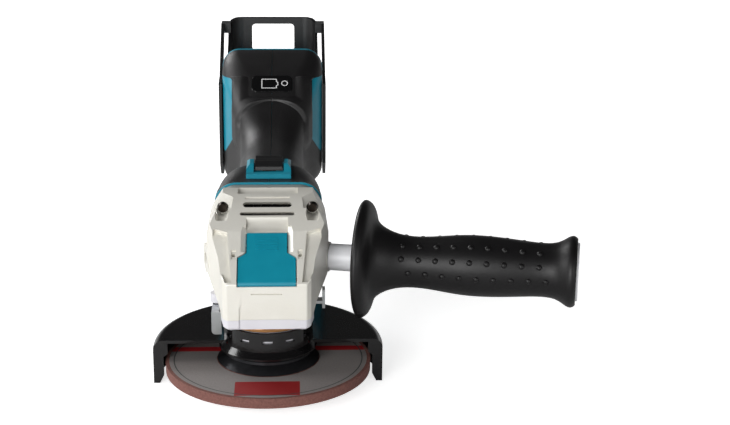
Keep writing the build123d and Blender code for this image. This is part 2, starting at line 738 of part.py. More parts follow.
# Bearing box: the plate that closes the head from below and the neck that carries the guard
box_front_y = HEAD_FRONT_Y
box_screws = [(side * 21.0, y) for side in (-1, 1) for y in (-24.0, 22.0)]
lock_pin_x = -31.5
lock_pin_y = 16.0
LOCK_PIN_R = 1.5
lock_ear_r = 4.2
with BuildPart() as bearing_box:
    with BuildSketch(Plane.XY.offset(BOX_BOTTOM)):
        polygon(
            mirrored(
                [
                    (NOSE_HALF - 2.4, box_front_y),
                    (NOSE_HALF, box_front_y + 3.2),
                    (NOSE_HALF + 2.0, box_front_y + 16.0),
                    (NOSE_HALF + 2.4, 18.0),
                    (NOSE_HALF - 3.0, 30.0),
                ]
            )
        )
    extrude(amount=BOX_TOP - BOX_BOTTOM)
    fillet(bearing_box.edges().filter_by(Axis.Z), radius=2.0)
    chamfer(bearing_box.faces().sort_by(Axis.Z)[0].edges(), length=1.0)
    with BuildSketch(Plane.XZ.offset(-box_front_y)):
        nose_panel()
    extrude(amount=-NOSE_PANEL_DEPTH, mode=Mode.SUBTRACT)
    with BuildSketch(Plane.XZ):
        polygon(
            [
                (LOWER_BEARING_R - 3.0, NECK_BOTTOM),
                (NECK_R - 0.8, NECK_BOTTOM),
                (NECK_R, NECK_BOTTOM + 0.8),
                (NECK_R, BOX_BOTTOM + 1.0),
                (LOWER_BEARING_R - 3.0, BOX_BOTTOM + 1.0),
            ]
        )
    revolve(axis=Axis.Z)
    with BuildSketch(Plane.XZ):
        polygon(
            [
                (0, NECK_BOTTOM - 1.0),
                (lock_neck_r + MOVE_GAP, NECK_BOTTOM - 1.0),
                (lock_neck_r + MOVE_GAP, lock_neck_top + MOVE_GAP),
                (LOWER_BEARING_R - 3.0, lock_neck_top + MOVE_GAP),
                (LOWER_BEARING_R - 3.0, lower_bearing_low),
                (LOWER_BEARING_R + SLIP_FIT, lower_bearing_low),
                (LOWER_BEARING_R + SLIP_FIT, lower_bearing_high),
                (LOWER_BEARING_R + 2.0, BOX_TOP + 1.0),
                (0, BOX_TOP + 1.0),
            ]
        )
    revolve(axis=Axis.Z, mode=Mode.SUBTRACT)
    with Locations(*[(x, y, BOX_BOTTOM) for x, y in box_screws]):
        Hole(radius=SCREW_R + RUN_FIT, depth=2 * (BOX_TOP - BOX_BOTTOM))
    # Ear that carries the guard lock lever's pin
    with BuildSketch(Plane.XY.offset(BOX_BOTTOM)):
        with Locations((lock_pin_x, lock_pin_y)):
            Circle(lock_ear_r)
            Rectangle(8.0, 2 * lock_ear_r, align=(Align.MIN, Align.CENTER))
    extrude(amount=BOX_TOP - BOX_BOTTOM)
    with BuildSketch(Plane.XY.offset(BOX_BOTTOM - 1)):
        with Locations((lock_pin_x, lock_pin_y)):
            Circle(LOCK_PIN_R + RUN_FIT)
    extrude(amount=BOX_TOP - BOX_BOTTOM + 2, mode=Mode.SUBTRACT)

# Screws that hold the bearing box up to the head
box_screw_end = BOX_TOP - 0.6
with BuildPart() as bearing_box_screws:
    with BuildSketch(Plane.XY.offset(BOX_BOTTOM - 2.2)):
        with Locations(*box_screws):
            Circle(SCREW_HEAD_R - 0.3)
    extrude(amount=2.2)
    with BuildSketch(Plane.XY.offset(BOX_BOTTOM)):
        with Locations(*box_screws):
            Circle(SCREW_R)
    extrude(amount=box_screw_end - BOX_BOTTOM)

# Bronze friction ring between the box and the guard's collar
with BuildPart() as friction_ring:
    with BuildSketch(Plane.XZ):
        ring_profile(NECK_R + RUN_FIT, NECK_R + 1.7, COLLAR_TOP + 0.6, COLLAR_TOP + 3.0)
    revolve(axis=Axis.Z)
    fillet(friction_ring.edges().filter_by(GeomType.CIRCLE).group_by(SortBy.RADIUS)[-1], radius=0.5)

# Pressed steel wheel guard: half plate, skirt, collar and the two end lips
collar_in = NECK_R + MOVE_GAP
collar_out = collar_in + COLLAR_T
skirt_in = GUARD_R - GUARD_T
lip_in = WHEEL_R + GUARD_LIP_GAP
with BuildPart() as wheel_guard:
    with BuildSketch(Plane.XZ):
        with BuildLine():
            Polyline(
                (skirt_in, GUARD_SKIRT_END),
                (GUARD_R, GUARD_SKIRT_END),
                (GUARD_R, GUARD_TOP - GUARD_EDGE_ROUND),
            )
            RadiusArc(
                (GUARD_R, GUARD_TOP - GUARD_EDGE_ROUND),
                (GUARD_R - GUARD_EDGE_ROUND, GUARD_TOP),
                -GUARD_EDGE_ROUND,
            )
            Polyline(
                (GUARD_R - GUARD_EDGE_ROUND, GUARD_TOP),
                (collar_in, GUARD_TOP),
                (collar_in, GUARD_TOP - GUARD_T),
                (GUARD_R - GUARD_EDGE_ROUND, GUARD_TOP - GUARD_T),
            )
            RadiusArc(
                (GUARD_R - GUARD_EDGE_ROUND, GUARD_TOP - GUARD_T),
                (skirt_in, GUARD_TOP - GUARD_EDGE_ROUND),
                GUARD_EDGE_ROUND - GUARD_T,
            )
            Line((skirt_in, GUARD_TOP - GUARD_EDGE_ROUND), (skirt_in, GUARD_SKIRT_END))
        make_face()
    revolve(axis=Axis.Z)
    with BuildSketch(Plane.XY.offset(GUARD_SKIRT_END - 1)):
        with Locations((0, GUARD_FRONT_Y)):
            Rectangle(3 * GUARD_R, 2 * GUARD_R, align=(Align.CENTER, Align.MIN))
    extrude(amount=GUARD_TOP - GUARD_SKIRT_END + 2, mode=Mode.INTERSECT)
    # Turned-in lip at each end of the skirt
    for side in (-1, 1):
        with BuildSketch(Plane.XZ.offset(-GUARD_FRONT_Y)):
            polygon(
                [
                    (side * (GUARD_R - 0.4), GUARD_TOP - 4.0),
                    (side * (GUARD_R - 0.4), GUARD_SKIRT_END + 3.0),
                    (side * (GUARD_R - 2.4), GUARD_SKIRT_END),
                    (side * (GUARD_R - 4.0), GUARD_SKIRT_END),
                    (side * lip_in, GUARD_SKIRT_END + 5.0),
                    (side * lip_in, WHEEL_T + 3.0),
                    (side * (lip_in - 2.6), WHEEL_T + 5.0),
                    (side * (lip_in - 2.6), GUARD_TOP - 1.0),
                    (side * (GUARD_R - 5.0), GUARD_TOP - 1.0),
                ]
            )
        extrude(amount=-GUARD_T)
    # Collar with its rolled lower ring
    with BuildSketch(Plane.XZ):
        polygon(
            [
                (collar_in, RING_BOTTOM + 3.2),
                (collar_in, COLLAR_TOP),
                (collar_out, COLLAR_TOP),
                (collar_out, GUARD_TOP),
                (RING_R, GUARD_TOP - 3.4),
                (RING_R, RING_BOTTOM + 0.6),
                (RING_R - 0.6, RING_BOTTOM),
                (RING_R - 1.8, RING_BOTTOM),
            ]
        )
    revolve(axis=Axis.Z)
    # Slots in the collar that the lock lever drops into, one for each setting
    with BuildSketch(Plane.XY.offset(COLLAR_SLOT_Z)):
        with PolarLocations(collar_in - 1.0, COLLAR_SLOTS):
            Rectangle(COLLAR_T + 3.0, COLLAR_SLOT_L, align=(Align.MIN, Align.CENTER))
    extrude(amount=COLLAR_SLOT_H, mode=Mode.SUBTRACT)

# Guard lock lever on its upright pin at the left of the neck
lock_plate_out = lock_pin_x - 2.7
lock_plate_front = -3.0
lock_lever_low = GUARD_TOP + 2.6
lock_lever_high = BOX_BOTTOM - 0.5
with BuildPart() as guard_lock_lever:
    with BuildSketch(Plane.XY.offset(lock_lever_high - 2.0)):
        polygon(
            [
                (lock_plate_out, lock_plate_front),
                (lock_plate_out + 4.6, lock_plate_front),
                (lock_plate_out + 4.6, lock_pin_y),
                (lock_pin_x + 3.0, lock_pin_y + 3.0),
                (lock_pin_x - 1.0, lock_pin_y + 3.6),
                (lock_plate_out, lock_pin_y),
            ]
        )
    extrude(amount=2.0)
    with BuildSketch(Plane.XZ.offset(-lock_plate_front)):
        with Locations((lock_plate_out, lock_lever_high)):
            Rectangle(6.0, lock_lever_high - lock_lever_low, align=(Align.MIN, Align.MAX))
    extrude(amount=-1.6)
    fillet(
        guard_lock_lever.edges().filter_by(Axis.Y).group_by(Axis.Z)[0].sort_by(Axis.X)[0],
        radius=2.4,
    )
    with Locations((lock_pin_x, lock_pin_y, lock_lever_high)):
        Hole(radius=LOCK_PIN_R + RUN_FIT, depth=10)

with BuildPart() as guard_lever_pin:
    with BuildSketch(Plane.XY.offset(lock_lever_high - 3.2)):
        with Locations((lock_pin_x, lock_pin_y)):
            Circle(LOCK_PIN_R + 0.9)
    extrude(amount=1.0)
    with BuildSketch(Plane.XY.offset(lock_lever_high - 2.3)):
        with Locations((lock_pin_x, lock_pin_y)):
            Circle(LOCK_PIN_R)
    extrude(amount=BOX_TOP - lock_lever_high + 2.3)

# Bent steel stop on the right of the box
with BuildPart() as guard_stop:
    with BuildSketch(Plane.XZ.offset(-8.0)):
        polygon(
            [
                (NOSE_HALF + 2.4, BOX_BOTTOM + 0.6),
                (33.2, BOX_BOTTOM + 0.6),
                (33.2, BOX_BOTTOM - 2.4),
                (34.9, BOX_BOTTOM - 2.4),
                (34.9, BOX_BOTTOM + 9.5),
                (33.2, BOX_BOTTOM + 9.5),
                (33.2, BOX_BOTTOM + 2.4),
                (NOSE_HALF + 2.4, BOX_BOTTOM + 2.4),
            ]
        )
    extrude(amount=-7.0)

# Spindle, hollow for the release rod
with BuildPart() as spindle:
    with BuildSketch(Plane.XZ):
        polygon(
            [
                (ROD_R + MOVE_GAP, spindle_low),
                (SPINDLE_R, spindle_low),
                (SPINDLE_R, lower_bearing_high + 0.2),
                (SPINDLE_R + 2.5, lower_bearing_high + 0.2),
                (SPINDLE_R + 2.5, crown_back - SLIP_FIT),
                (SPINDLE_R, crown_back - SLIP_FIT),
                (SPINDLE_R, crown_low + 1.0),
                (SPINDLE_TOP_R, crown_low + 2.0),
                (SPINDLE_TOP_R, spindle_high),
                (ROD_R + MOVE_GAP, spindle_high),
            ]
        )
    revolve(axis=Axis.Z)

with BuildPart() as lower_spindle_bearing:
    with BuildSketch(Plane.XZ):
        bearing_profile(SPINDLE_R + RUN_FIT, LOWER_BEARING_R, lower_bearing_low, LOWER_BEARING_T)
    revolve(axis=Axis.Z)

with BuildPart() as upper_spindle_bearing:
    with BuildSketch(Plane.XZ):
        bearing_profile(SPINDLE_TOP_R + RUN_FIT, UPPER_BEARING_R, upper_bearing_low, UPPER_BEARING_T)
    revolve(axis=Axis.Z)

# Crown gear: straight bevel teeth drawn towards the point where the axes cross
with BuildPart() as crown_gear:
    for height in (crown_low, crown_high):
        drop = MOTOR_Z - height
        with BuildSketch(Plane.XY.offset(height)):
            polygon(
                tooth_outline(
                    CROWN_TEETH,
                    drop * tan(crown_angle - root_turn),
                    drop * tan(crown_angle + tip_turn),
                    90 + 180 / CROWN_TEETH,
                )
            )
    loft(ruled=True)
    with BuildSketch(Plane.XY.offset(crown_low)):
        Circle(crown_rim_r)
    extrude(amount=crown_high - crown_low, mode=Mode.INTERSECT)
    with BuildSketch(Plane.XY.offset(crown_low + 1.2)):
        Circle(crown_inner_r)
    extrude(amount=crown_high - crown_low, mode=Mode.SUBTRACT)
    with BuildSketch(Plane.XZ):
        ring_profile(0, crown_rim_r, crown_low - 1.6, crown_low)
        ring_profile(0, crown_hub_r, crown_back, crown_low)
    revolve(axis=Axis.Z)
    with BuildSketch(Plane.XY.offset(crown_back)):
        Circle(SPINDLE_R + RUN_FIT)
    extrude(amount=crown_high - crown_back, mode=Mode.SUBTRACT)

# Pinion on the motor shaft
with BuildPart() as pinion:
    for y in (pinion_front_y, pinion_back_y):
        with BuildSketch(Plane.XZ.offset(-y).shift_origin((0, y, MOTOR_Z))):
            polygon(
                tooth_outline(
                    PINION_TEETH,
                    y * tan(pinion_angle - root_turn),
                    y * tan(pinion_angle + tip_turn),
                    -90,
                )
            )
    loft(ruled=True)
    with BuildSketch(motor_plane):
        polygon(
            [
                (0, pinion_back_y),
                (PINION_SEAT_R + 2.0, pinion_back_y),
                (PINION_SEAT_R + 2.0, pinion_back_y + 6.0),
                (0, pinion_back_y + 6.0),
            ]
        )
    revolve(axis=motor_axis)
    with BuildSketch(along_y(0, pinion_back_y + 1.0, MOTOR_Z)):
        Circle(PINION_SEAT_R + RUN_FIT)
    extrude(amount=6.0, mode=Mode.SUBTRACT)

shaft_rear_y = REAR_BEARING_Y + REAR_BEARING_T + 1.0
with BuildPart() as motor_shaft:
    with BuildSketch(motor_plane):
        polygon(
            [
                (0, pinion_back_y + 1.2),
                (PINION_SEAT_R, pinion_back_y + 1.2),
                (PINION_SEAT_R, pinion_back_y + 6.1),
                (SHAFT_R, pinion_back_y + 7.1),
                (SHAFT_R, shaft_rear_y - 0.6),
                (SHAFT_R - 0.6, shaft_rear_y),
                (0, shaft_rear_y),
            ]
        )
    revolve(axis=motor_axis)

with BuildPart() as front_motor_bearing:
    with BuildSketch(motor_plane):
        bearing_profile(SHAFT_R + RUN_FIT, MOTOR_BEARING_R, MOTOR_BEARING_Y, MOTOR_BEARING_T)
    revolve(axis=motor_axis)

with BuildPart() as rear_motor_bearing:
    with BuildSketch(motor_plane):
        bearing_profile(SHAFT_R + RUN_FIT, REAR_BEARING_R, REAR_BEARING_Y, REAR_BEARING_T)
    revolve(axis=motor_axis)

# Cooling fan: a back plate, a hub and curved blades
with BuildPart() as fan:
    with BuildSketch(motor_plane):
        ring_profile(SHAFT_R + RUN_FIT, FAN_R, FAN_Y + FAN_T - 1.4, FAN_Y + FAN_T)
        ring_profile(SHAFT_R + RUN_FIT, SHAFT_R + 4.0, FAN_Y, FAN_Y + FAN_T)
    revolve(axis=motor_axis)
    with BuildSketch(along_y(0, FAN_Y, MOTOR_Z)):
        with PolarLocations(0, FAN_BLADES):
            with Locations((FAN_R - 6.0, 0)):
                Rectangle(11.0, 1.2, rotation=28)
    extrude(amount=FAN_T - 1.0)

rotor_y = STATOR_Y + 1.0
rotor_l = STATOR_L - 2.0
with BuildPart() as rotor_core:
    with BuildSketch(motor_plane):
        ring_profile(SHAFT_R + RUN_FIT, ROTOR_R, rotor_y, rotor_y + rotor_l)
    revolve(axis=motor_axis)
    chamfer(rotor_core.edges().filter_by(GeomType.CIRCLE).group_by(SortBy.RADIUS)[-1], length=0.6)

# Stator: a laminated ring with pole teeth, and one coil on each tooth
yoke_in = STATOR_R - 4.6
pole_w = 6.4
with BuildPart() as stator_core:
    with BuildSketch(along_y(0, STATOR_Y, MOTOR_Z)):
        Circle(STATOR_R)
        Circle(yoke_in, mode=Mode.SUBTRACT)
        with PolarLocations((STATOR_BORE_R + yoke_in) / 2 + 0.5, STATOR_POLES):
            Rectangle(yoke_in - STATOR_BORE_R + 1.4, pole_w)
        with PolarLocations(STATOR_BORE_R + 1.0, STATOR_POLES):
            Rectangle(2.2, pole_w + 4.0)
        Circle(STATOR_BORE_R, mode=Mode.SUBTRACT)
    extrude(amount=STATOR_L)

coil_end = 2.6
coil_w = 2.2
coil_mid_r = (STATOR_BORE_R + yoke_in) / 2 + 0.8
coil_deep = yoke_in - STATOR_BORE_R - 4.2
with BuildPart() as stator_coils:
    for pole in range(STATOR_POLES):
        pole_turn = radians(360 / STATOR_POLES * pole)
        pole_dir = (cos(pole_turn), 0, sin(pole_turn))
        coil_plane = Plane(
            origin=(
                coil_mid_r * cos(pole_turn),
                STATOR_Y + STATOR_L / 2,
                MOTOR_Z + coil_mid_r * sin(pole_turn),
            ),
            x_dir=(0, 1, 0),
            z_dir=pole_dir,
        )
        with BuildSketch(coil_plane):
            RectangleRounded(STATOR_L + 2 * coil_end, pole_w + 2 * coil_w, 2.5)
            Rectangle(STATOR_L + 2 * SLIP_FIT, pole_w + 2 * SLIP_FIT, mode=Mode.SUBTRACT)
        extrude(amount=coil_deep / 2, both=True)

# Motor housing: outer form, hollow inside, with the rubber covers let into its skin
outer_form = body_form(0)
cover_form = body_form(COVER_T)
inner_form = body_form(COVER_T + BODY_WALL, front=1.0, rear=REAR_WALL)
cover_start_y = DRUM_END_Y + 2.0
cover_end_y = BODY_REAR_Y - 7.0
cap_z = MOTOR_Z + 24.0
panel_normal = (0, -sin(radians(PANEL_SLOPE)), cos(radians(PANEL_SLOPE)))
panel_plane = Plane(origin=(0, PANEL_Y, PANEL_Z), x_dir=(1, 0, 0), z_dir=panel_normal)
trim_half_in = 30.6
trim_low = 72.0
trim_high = 127.5
frame_low = DRUM_TOP - COVER_T - BODY_WALL + 0.6

with BuildPart() as cover_zone:
    with BuildSketch(Plane.XZ.offset(-cover_start_y)):
        with Locations((0, MOTOR_Z)):
            Rectangle(200, 200)
    extrude(amount=-(cover_end_y - cover_start_y))
    with BuildSketch(Plane.XZ.offset(-BODY_FRONT_Y - 1.2)):
        with Locations((0, cap_z)):
            Rectangle(200, 60, align=(Align.CENTER, Align.MIN))
    extrude(amount=-(cover_start_y - BODY_FRONT_Y))

with BuildPart() as rubber_skin:
    add(cover_zone.part)
    add(outer_form, mode=Mode.INTERSECT)
    add(cover_form, mode=Mode.SUBTRACT)

with BuildPart() as body_shell:
    add(outer_form)
    add(cover_zone.part, mode=Mode.SUBTRACT)
    add(cover_form)
    add(inner_form, mode=Mode.SUBTRACT)

# Ribs, bosses and the bearing wall inside the housing
wall_form = body_form(COVER_T + BODY_WALL / 2)
stator_end = STATOR_Y + STATOR_L
with BuildPart() as inner_works:
    with BuildSketch(Plane.XZ.offset(-REAR_BEARING_Y)):
        with Locations((0, MOTOR_Z)):
            Rectangle(3 * DRUM_HALF, 3 * DRUM_HALF)
    extrude(amount=-REAR_BEARING_T)
    for x, y, z in head_screws:
        with BuildSketch(along_y(x, BODY_FRONT_Y, z)):
            Circle(SCREW_R + 2.6)
        extrude(amount=head_screw_end - BODY_FRONT_Y + 2.0)
    with BuildSketch(along_y(0, STATOR_Y, MOTOR_Z)):
        with PolarLocations(STATOR_R + SLIP_FIT, 2):
            Rectangle(DRUM_HALF - STATOR_R, 5.0, align=(Align.MIN, Align.CENTER))
        with PolarLocations(STATOR_R + SLIP_FIT, 1, start_angle=90):
            Rectangle(DRUM_HALF - STATOR_R, 5.0, align=(Align.MIN, Align.CENTER))
    extrude(amount=STATOR_L)
    add(wall_form, mode=Mode.INTERSECT)

frame_floor = DRUM_TOP - COVER_T - 0.8
frame_end_y = SWITCH_FRAME_Y + SWITCH_FRAME_L
stem_y = KNOB_Y + 6.0
stem_l = 8.0
stem_half_gap = STEM_HALF + MOVE_GAP
link_high = MOTOR_Z + STATOR_R + 0.3 + LINK_T
link_low = link_high - LINK_T
link_drop_y = stator_end + coil_end + KNOB_TRAVEL + 0.9
link_run_z = MOTOR_Z + REAR_BEARING_R + 8.0
link_half = 3.0


def trim_outline(side, gap):
    """The slanted strip on one corner of the battery end, seen from the front."""
    polygon(
        [
            (side * (trim_half_in - gap), trim_high + gap),
            (side * (BELL_HALF + 1.0), trim_high + gap),
            (side * (BELL_HALF + 1.0), trim_low - 3.0 - gap),
            (side * (BELL_HALF - 2.0), trim_low - 3.0 - gap),
            (side * (trim_half_in - gap), trim_low + 10.0 - gap),
        ]
    )


# Right half of the motor housing; the left half is its mirror image
with BuildPart() as housing_right:
    add(body_shell.part)
    add(inner_works.part)
    # Rear motor bearing seat and shaft clearance
    with BuildSketch(motor_plane):
        polygon(
            [
                (0, REAR_BEARING_Y - 1.0),
                (REAR_BEARING_R + SLIP_FIT, REAR_BEARING_Y - 1.0),
                (REAR_BEARING_R + SLIP_FIT, REAR_BEARING_Y + REAR_BEARING_T + 1.0),
                (0, REAR_BEARING_Y + REAR_BEARING_T + 1.0),
            ]
        )
    revolve(axis=motor_axis, mode=Mode.SUBTRACT)
    # Way through the bearing wall for the switch link
    with BuildSketch(Plane.XZ.offset(-REAR_BEARING_Y + 1.0)):
        with Locations((0, link_run_z + LINK_T / 2)):
            Rectangle(2 * (link_half + MOVE_GAP), LINK_T + 2 * MOVE_GAP)
    extrude(amount=-(REAR_BEARING_T + 2.0), mode=Mode.SUBTRACT)
    # Seat of the switch frame and the slot for the knob's stem
    with BuildSketch(Plane.XY.offset(frame_floor)):
        with Locations((0, SWITCH_FRAME_Y - SLIP_FIT)):
            Rectangle(
                2 * (SWITCH_FRAME_HALF + SLIP_FIT),
                SWITCH_FRAME_L + 2 * SLIP_FIT,
                align=(Align.CENTER, Align.MIN),
            )
    extrude(amount=12, mode=Mode.SUBTRACT)
    with BuildSketch(Plane.XY.offset(link_low)):
        with Locations((0, stem_y - KNOB_TRAVEL - MOVE_GAP)):
            Rectangle(
                2 * stem_half_gap,
                stem_l + KNOB_TRAVEL + 2 * MOVE_GAP,
                align=(Align.CENTER, Align.MIN),
            )
    extrude(amount=10, mode=Mode.SUBTRACT)
    # Seat of the indicator panel
    with BuildSketch(panel_plane.offset(-PANEL_T)):
        RectangleRounded(2 * (PANEL_HALF + SLIP_FIT), PANEL_L + 2 * SLIP_FIT, 4.0)
    extrude(amount=12, mode=Mode.SUBTRACT)
    for x, y, z in head_screws:
        with BuildSketch(along_y(x, BODY_FRONT_Y - 1, z)):
            Circle(SCREW_R + RUN_FIT)
        extrude(amount=head_screw_end - BODY_FRONT_Y + 1.6, mode=Mode.SUBTRACT)

with BuildPart() as housing_left:
    mirror(housing_right.part, about=Plane.YZ)

# Rubber covers with the switch, panel and trims let in
seam_half = 0.15
with BuildPart() as grip_cover_right:
    add(rubber_skin.part)
    with BuildSketch(Plane.XZ.offset(-throat_y)):
        trim_outline(1, RUN_FIT)
    extrude(amount=-(BODY_REAR_Y - throat_y), mode=Mode.SUBTRACT)
    with BuildSketch(Plane.XY.offset(frame_floor - 6)):
        with Locations((0, SWITCH_FRAME_Y - SLIP_FIT)):
            Rectangle(
                2 * (SWITCH_FRAME_HALF + SLIP_FIT),
                SWITCH_FRAME_L + 2 * SLIP_FIT,
                align=(Align.CENTER, Align.MIN),
            )
    extrude(amount=18, mode=Mode.SUBTRACT)
    with BuildSketch(panel_plane.offset(-PANEL_T - 4)):
        RectangleRounded(2 * (PANEL_HALF + SLIP_FIT), PANEL_L + 2 * SLIP_FIT, 4.0)
    extrude(amount=16, mode=Mode.SUBTRACT)
    with BuildSketch(Plane.XY.offset(BELL_BOTTOM - 10)):
        with Locations((0, BODY_FRONT_Y - 10)):
            Rectangle(2 * seam_half, BODY_REAR_Y, align=(Align.CENTER, Align.MIN))
    extrude(amount=BELL_TOP, mode=Mode.SUBTRACT)

with BuildPart() as grip_cover_left:
    mirror(grip_cover_right.part, about=Plane.YZ)

# Coloured trims on the two front corners of the battery end
with BuildPart() as side_trim_right:
    add(rubber_skin.part)
    with BuildSketch(Plane.XZ.offset(-throat_y)):
        trim_outline(1, 0)
    extrude(amount=-(BODY_REAR_Y - throat_y), mode=Mode.INTERSECT)

with BuildPart() as side_trim_left:
    mirror(side_trim_right.part, about=Plane.YZ)

# Switch frame: a U-shaped bezel let into the top of the drum
frame_plate_top = frame_floor + 3.4
arm_in = SWITCH_FRAME_HALF - SWITCH_FRAME_ARM
with BuildPart() as switch_frame:
    with BuildSketch(Plane.XY.offset(frame_floor)):
        with Locations((0, SWITCH_FRAME_Y)):
            Rectangle(
                2 * SWITCH_FRAME_HALF, SWITCH_FRAME_L, align=(Align.CENTER, Align.MIN)
            )
    extrude(amount=SWITCH_FRAME_TOP - frame_floor)
    with BuildSketch(Plane.YZ.offset(-SWITCH_FRAME_HALF)):
        polygon(
            [
                (SWITCH_FRAME_Y - 1.0, DRUM_TOP + 1.6),
                (SWITCH_FRAME_Y + 4.0, DRUM_TOP + 2.2),
                (SWITCH_FRAME_Y + 13.0, SWITCH_FRAME_TOP),
                (frame_end_y - 6.0, SWITCH_FRAME_TOP),
                (frame_end_y + 1.0, DRUM_TOP + 2.0),
                (frame_end_y + 1.0, SWITCH_FRAME_TOP + 5.0),
                (SWITCH_FRAME_Y - 1.0, SWITCH_FRAME_TOP + 5.0),
            ]
        )
    extrude(amount=2 * SWITCH_FRAME_HALF, mode=Mode.SUBTRACT)
    chamfer(
        switch_frame.edges().filter_by(Axis.Y).group_by(Axis.Z)[-1].sort_by(Axis.X)[0], length=2.0
    )
    chamfer(
        switch_frame.edges().filter_by(Axis.Y).group_by(Axis.Z)[-1].sort_by(Axis.X)[-1], length=2.0
    )
    with BuildSketch(Plane.XY.offset(frame_plate_top)):
        with Locations((0, KNOB_Y - KNOB_TRAVEL - 0.8)):
            Rectangle(2 * arm_in, SWITCH_FRAME_L, align=(Align.CENTER, Align.MIN))
    extrude(amount=20, mode=Mode.SUBTRACT)
    with BuildSketch(Plane.XY.offset(frame_floor)):
        with Locations((0, stem_y - KNOB_TRAVEL - MOVE_GAP)):
            Rectangle(
                2 * stem_half_gap,
                stem_l + KNOB_TRAVEL + 2 * MOVE_GAP,
                align=(Align.CENTER, Align.MIN),
            )
    extrude(amount=20, mode=Mode.SUBTRACT)

# Ridged slide knob with its stem
knob_low = frame_plate_top + MOVE_GAP
knob_end_y = KNOB_Y + KNOB_L
RIDGES = 4
ridge_step = 3.2
with BuildPart() as slide_switch:
    with BuildSketch(Plane.YZ.offset(-KNOB_HALF)):
        polygon(
            [
                (KNOB_Y, knob_low),
                (knob_end_y, knob_low),
                (knob_end_y, KNOB_TOP - 2.0),
                (knob_end_y - 2.5, KNOB_TOP),
                (KNOB_Y + 5.0, KNOB_TOP - 0.6),
                (KNOB_Y + 0.6, knob_low + 2.2),
            ]
        )
    extrude(amount=2 * KNOB_HALF)
    for ridge in range(RIDGES):
        with BuildSketch(Plane.YZ.offset(-KNOB_HALF)):
            with Locations((KNOB_Y + 5.6 + ridge_step * ridge, KNOB_TOP + 0.4)):
                Circle(1.15)
        extrude(amount=2 * KNOB_HALF, mode=Mode.SUBTRACT)
    with BuildSketch(Plane.XY.offset(link_high)):
        with Locations((0, stem_y)):
            Rectangle(2 * STEM_HALF, stem_l, align=(Align.CENTER, Align.MIN))
    extrude(amount=knob_low - link_high + 1.0)

# Link from the knob down to the switch unit
link_end_y = REAR_BEARING_Y + REAR_BEARING_T + 12.0
with BuildPart() as switch_link:
    with BuildSketch(Plane.YZ.offset(-link_half)):
        polygon(
            [
                (stem_y, link_low),
                (link_drop_y, link_low),
                (link_drop_y, link_run_z),
                (link_end_y, link_run_z),
                (link_end_y, link_run_z + LINK_T),
                (link_drop_y + LINK_T, link_run_z + LINK_T),
                (link_drop_y + LINK_T, link_high),
                (stem_y, link_high),
            ]
        )
    extrude(amount=2 * link_half)

# Switch unit on a tray that slots between the grip's walls
grip_inside = GRIP_HALF - COVER_T - BODY_WALL
unit_y = link_end_y - 8.0
unit_top = link_run_z - 0.5
with BuildPart() as switch_unit:
    with BuildSketch(Plane.XY.offset(unit_top - 12.0)):
        with Locations((0, unit_y + 4.0)):
            Rectangle(2 * (grip_inside - 2.1), 20.0, align=(Align.CENTER, Align.MIN))
    extrude(amount=3.0)
    with BuildSketch(Plane.XY.offset(unit_top - 9.0)):
        with Locations((0, unit_y + 4.0)):
            Rectangle(12.0, 18.0, align=(Align.CENTER, Align.MIN))
    extrude(amount=9.0)

# Indicator panel and the check button in it
with BuildPart() as indicator_panel:
    with BuildSketch(panel_plane.offset(-PANEL_T)):
        RectangleRounded(2 * PANEL_HALF, PANEL_L, 4.0)
    extrude(amount=PANEL_T + 0.9)
    fillet(indicator_panel.faces().sort_by(Axis.Z)[-1].edges(), radius=0.5)
    with BuildSketch(panel_plane.offset(-PANEL_T + 0.8)):
        with Locations((BUTTON_X, 0)):
            Circle(BUTTON_R + 0.15)
    extrude(amount=PANEL_T + 4.0, mode=Mode.SUBTRACT)

BUTTON_TRAVEL = 0.7
with BuildPart() as check_button:
    with BuildSketch(panel_plane.offset(-PANEL_T + 0.8 + BUTTON_TRAVEL + 0.1)):
        with Locations((BUTTON_X, 0)):
            Circle(BUTTON_R)
    extrude(amount=PANEL_T + 0.4 - BUTTON_TRAVEL)

# Control board with its parts, across the battery end
board_y = BELL_FULL_Y - 2.0
bell_inside = BELL_HALF - COVER_T - BODY_WALL
with BuildPart() as control_board:
    with BuildSketch(Plane.XZ.offset(-board_y)):
        with Locations((0, (BELL_TOP + BELL_BOTTOM) / 2 - 4.0)):
            RectangleRounded(2 * (bell_inside - 0.8), 78.0, 8.0)
    extrude(amount=-2.0)
    with BuildSketch(Plane.XZ.offset(-board_y)):
        with GridLocations(18.0, 20.0, 3, 2):
            with Locations((0, 76.0)):
                Rectangle(11.0, 12.0)
    extrude(amount=6.0)

# Battery seat: guide rails, terminal block and its blades
with BuildPart() as battery_rails:
    for side in (-1, 1):
        with BuildSketch(Plane.XY.offset(RAIL_BOTTOM)):
            polygon(
                [
                    (side * RAIL_X, BODY_REAR_Y + RUN_FIT),
                    (side * (RAIL_X + RAIL_W), BODY_REAR_Y + RUN_FIT),
                    (side * (RAIL_X + RAIL_W), BODY_REAR_Y + RAIL_DEPTH),
                    (side * (RAIL_X - 3.0), BODY_REAR_Y + RAIL_DEPTH),
                    (side * (RAIL_X - 3.0), BODY_REAR_Y + RAIL_DEPTH - 3.0),
                    (side * (RAIL_X + 3.0), BODY_REAR_Y + RAIL_DEPTH - 3.0),
                    (side * (RAIL_X + 3.0), BODY_REAR_Y + 2.0),
                    (side * RAIL_X, BODY_REAR_Y + 2.0),
                ]
            )
        extrude(amount=RAIL_TOP - RAIL_BOTTOM)

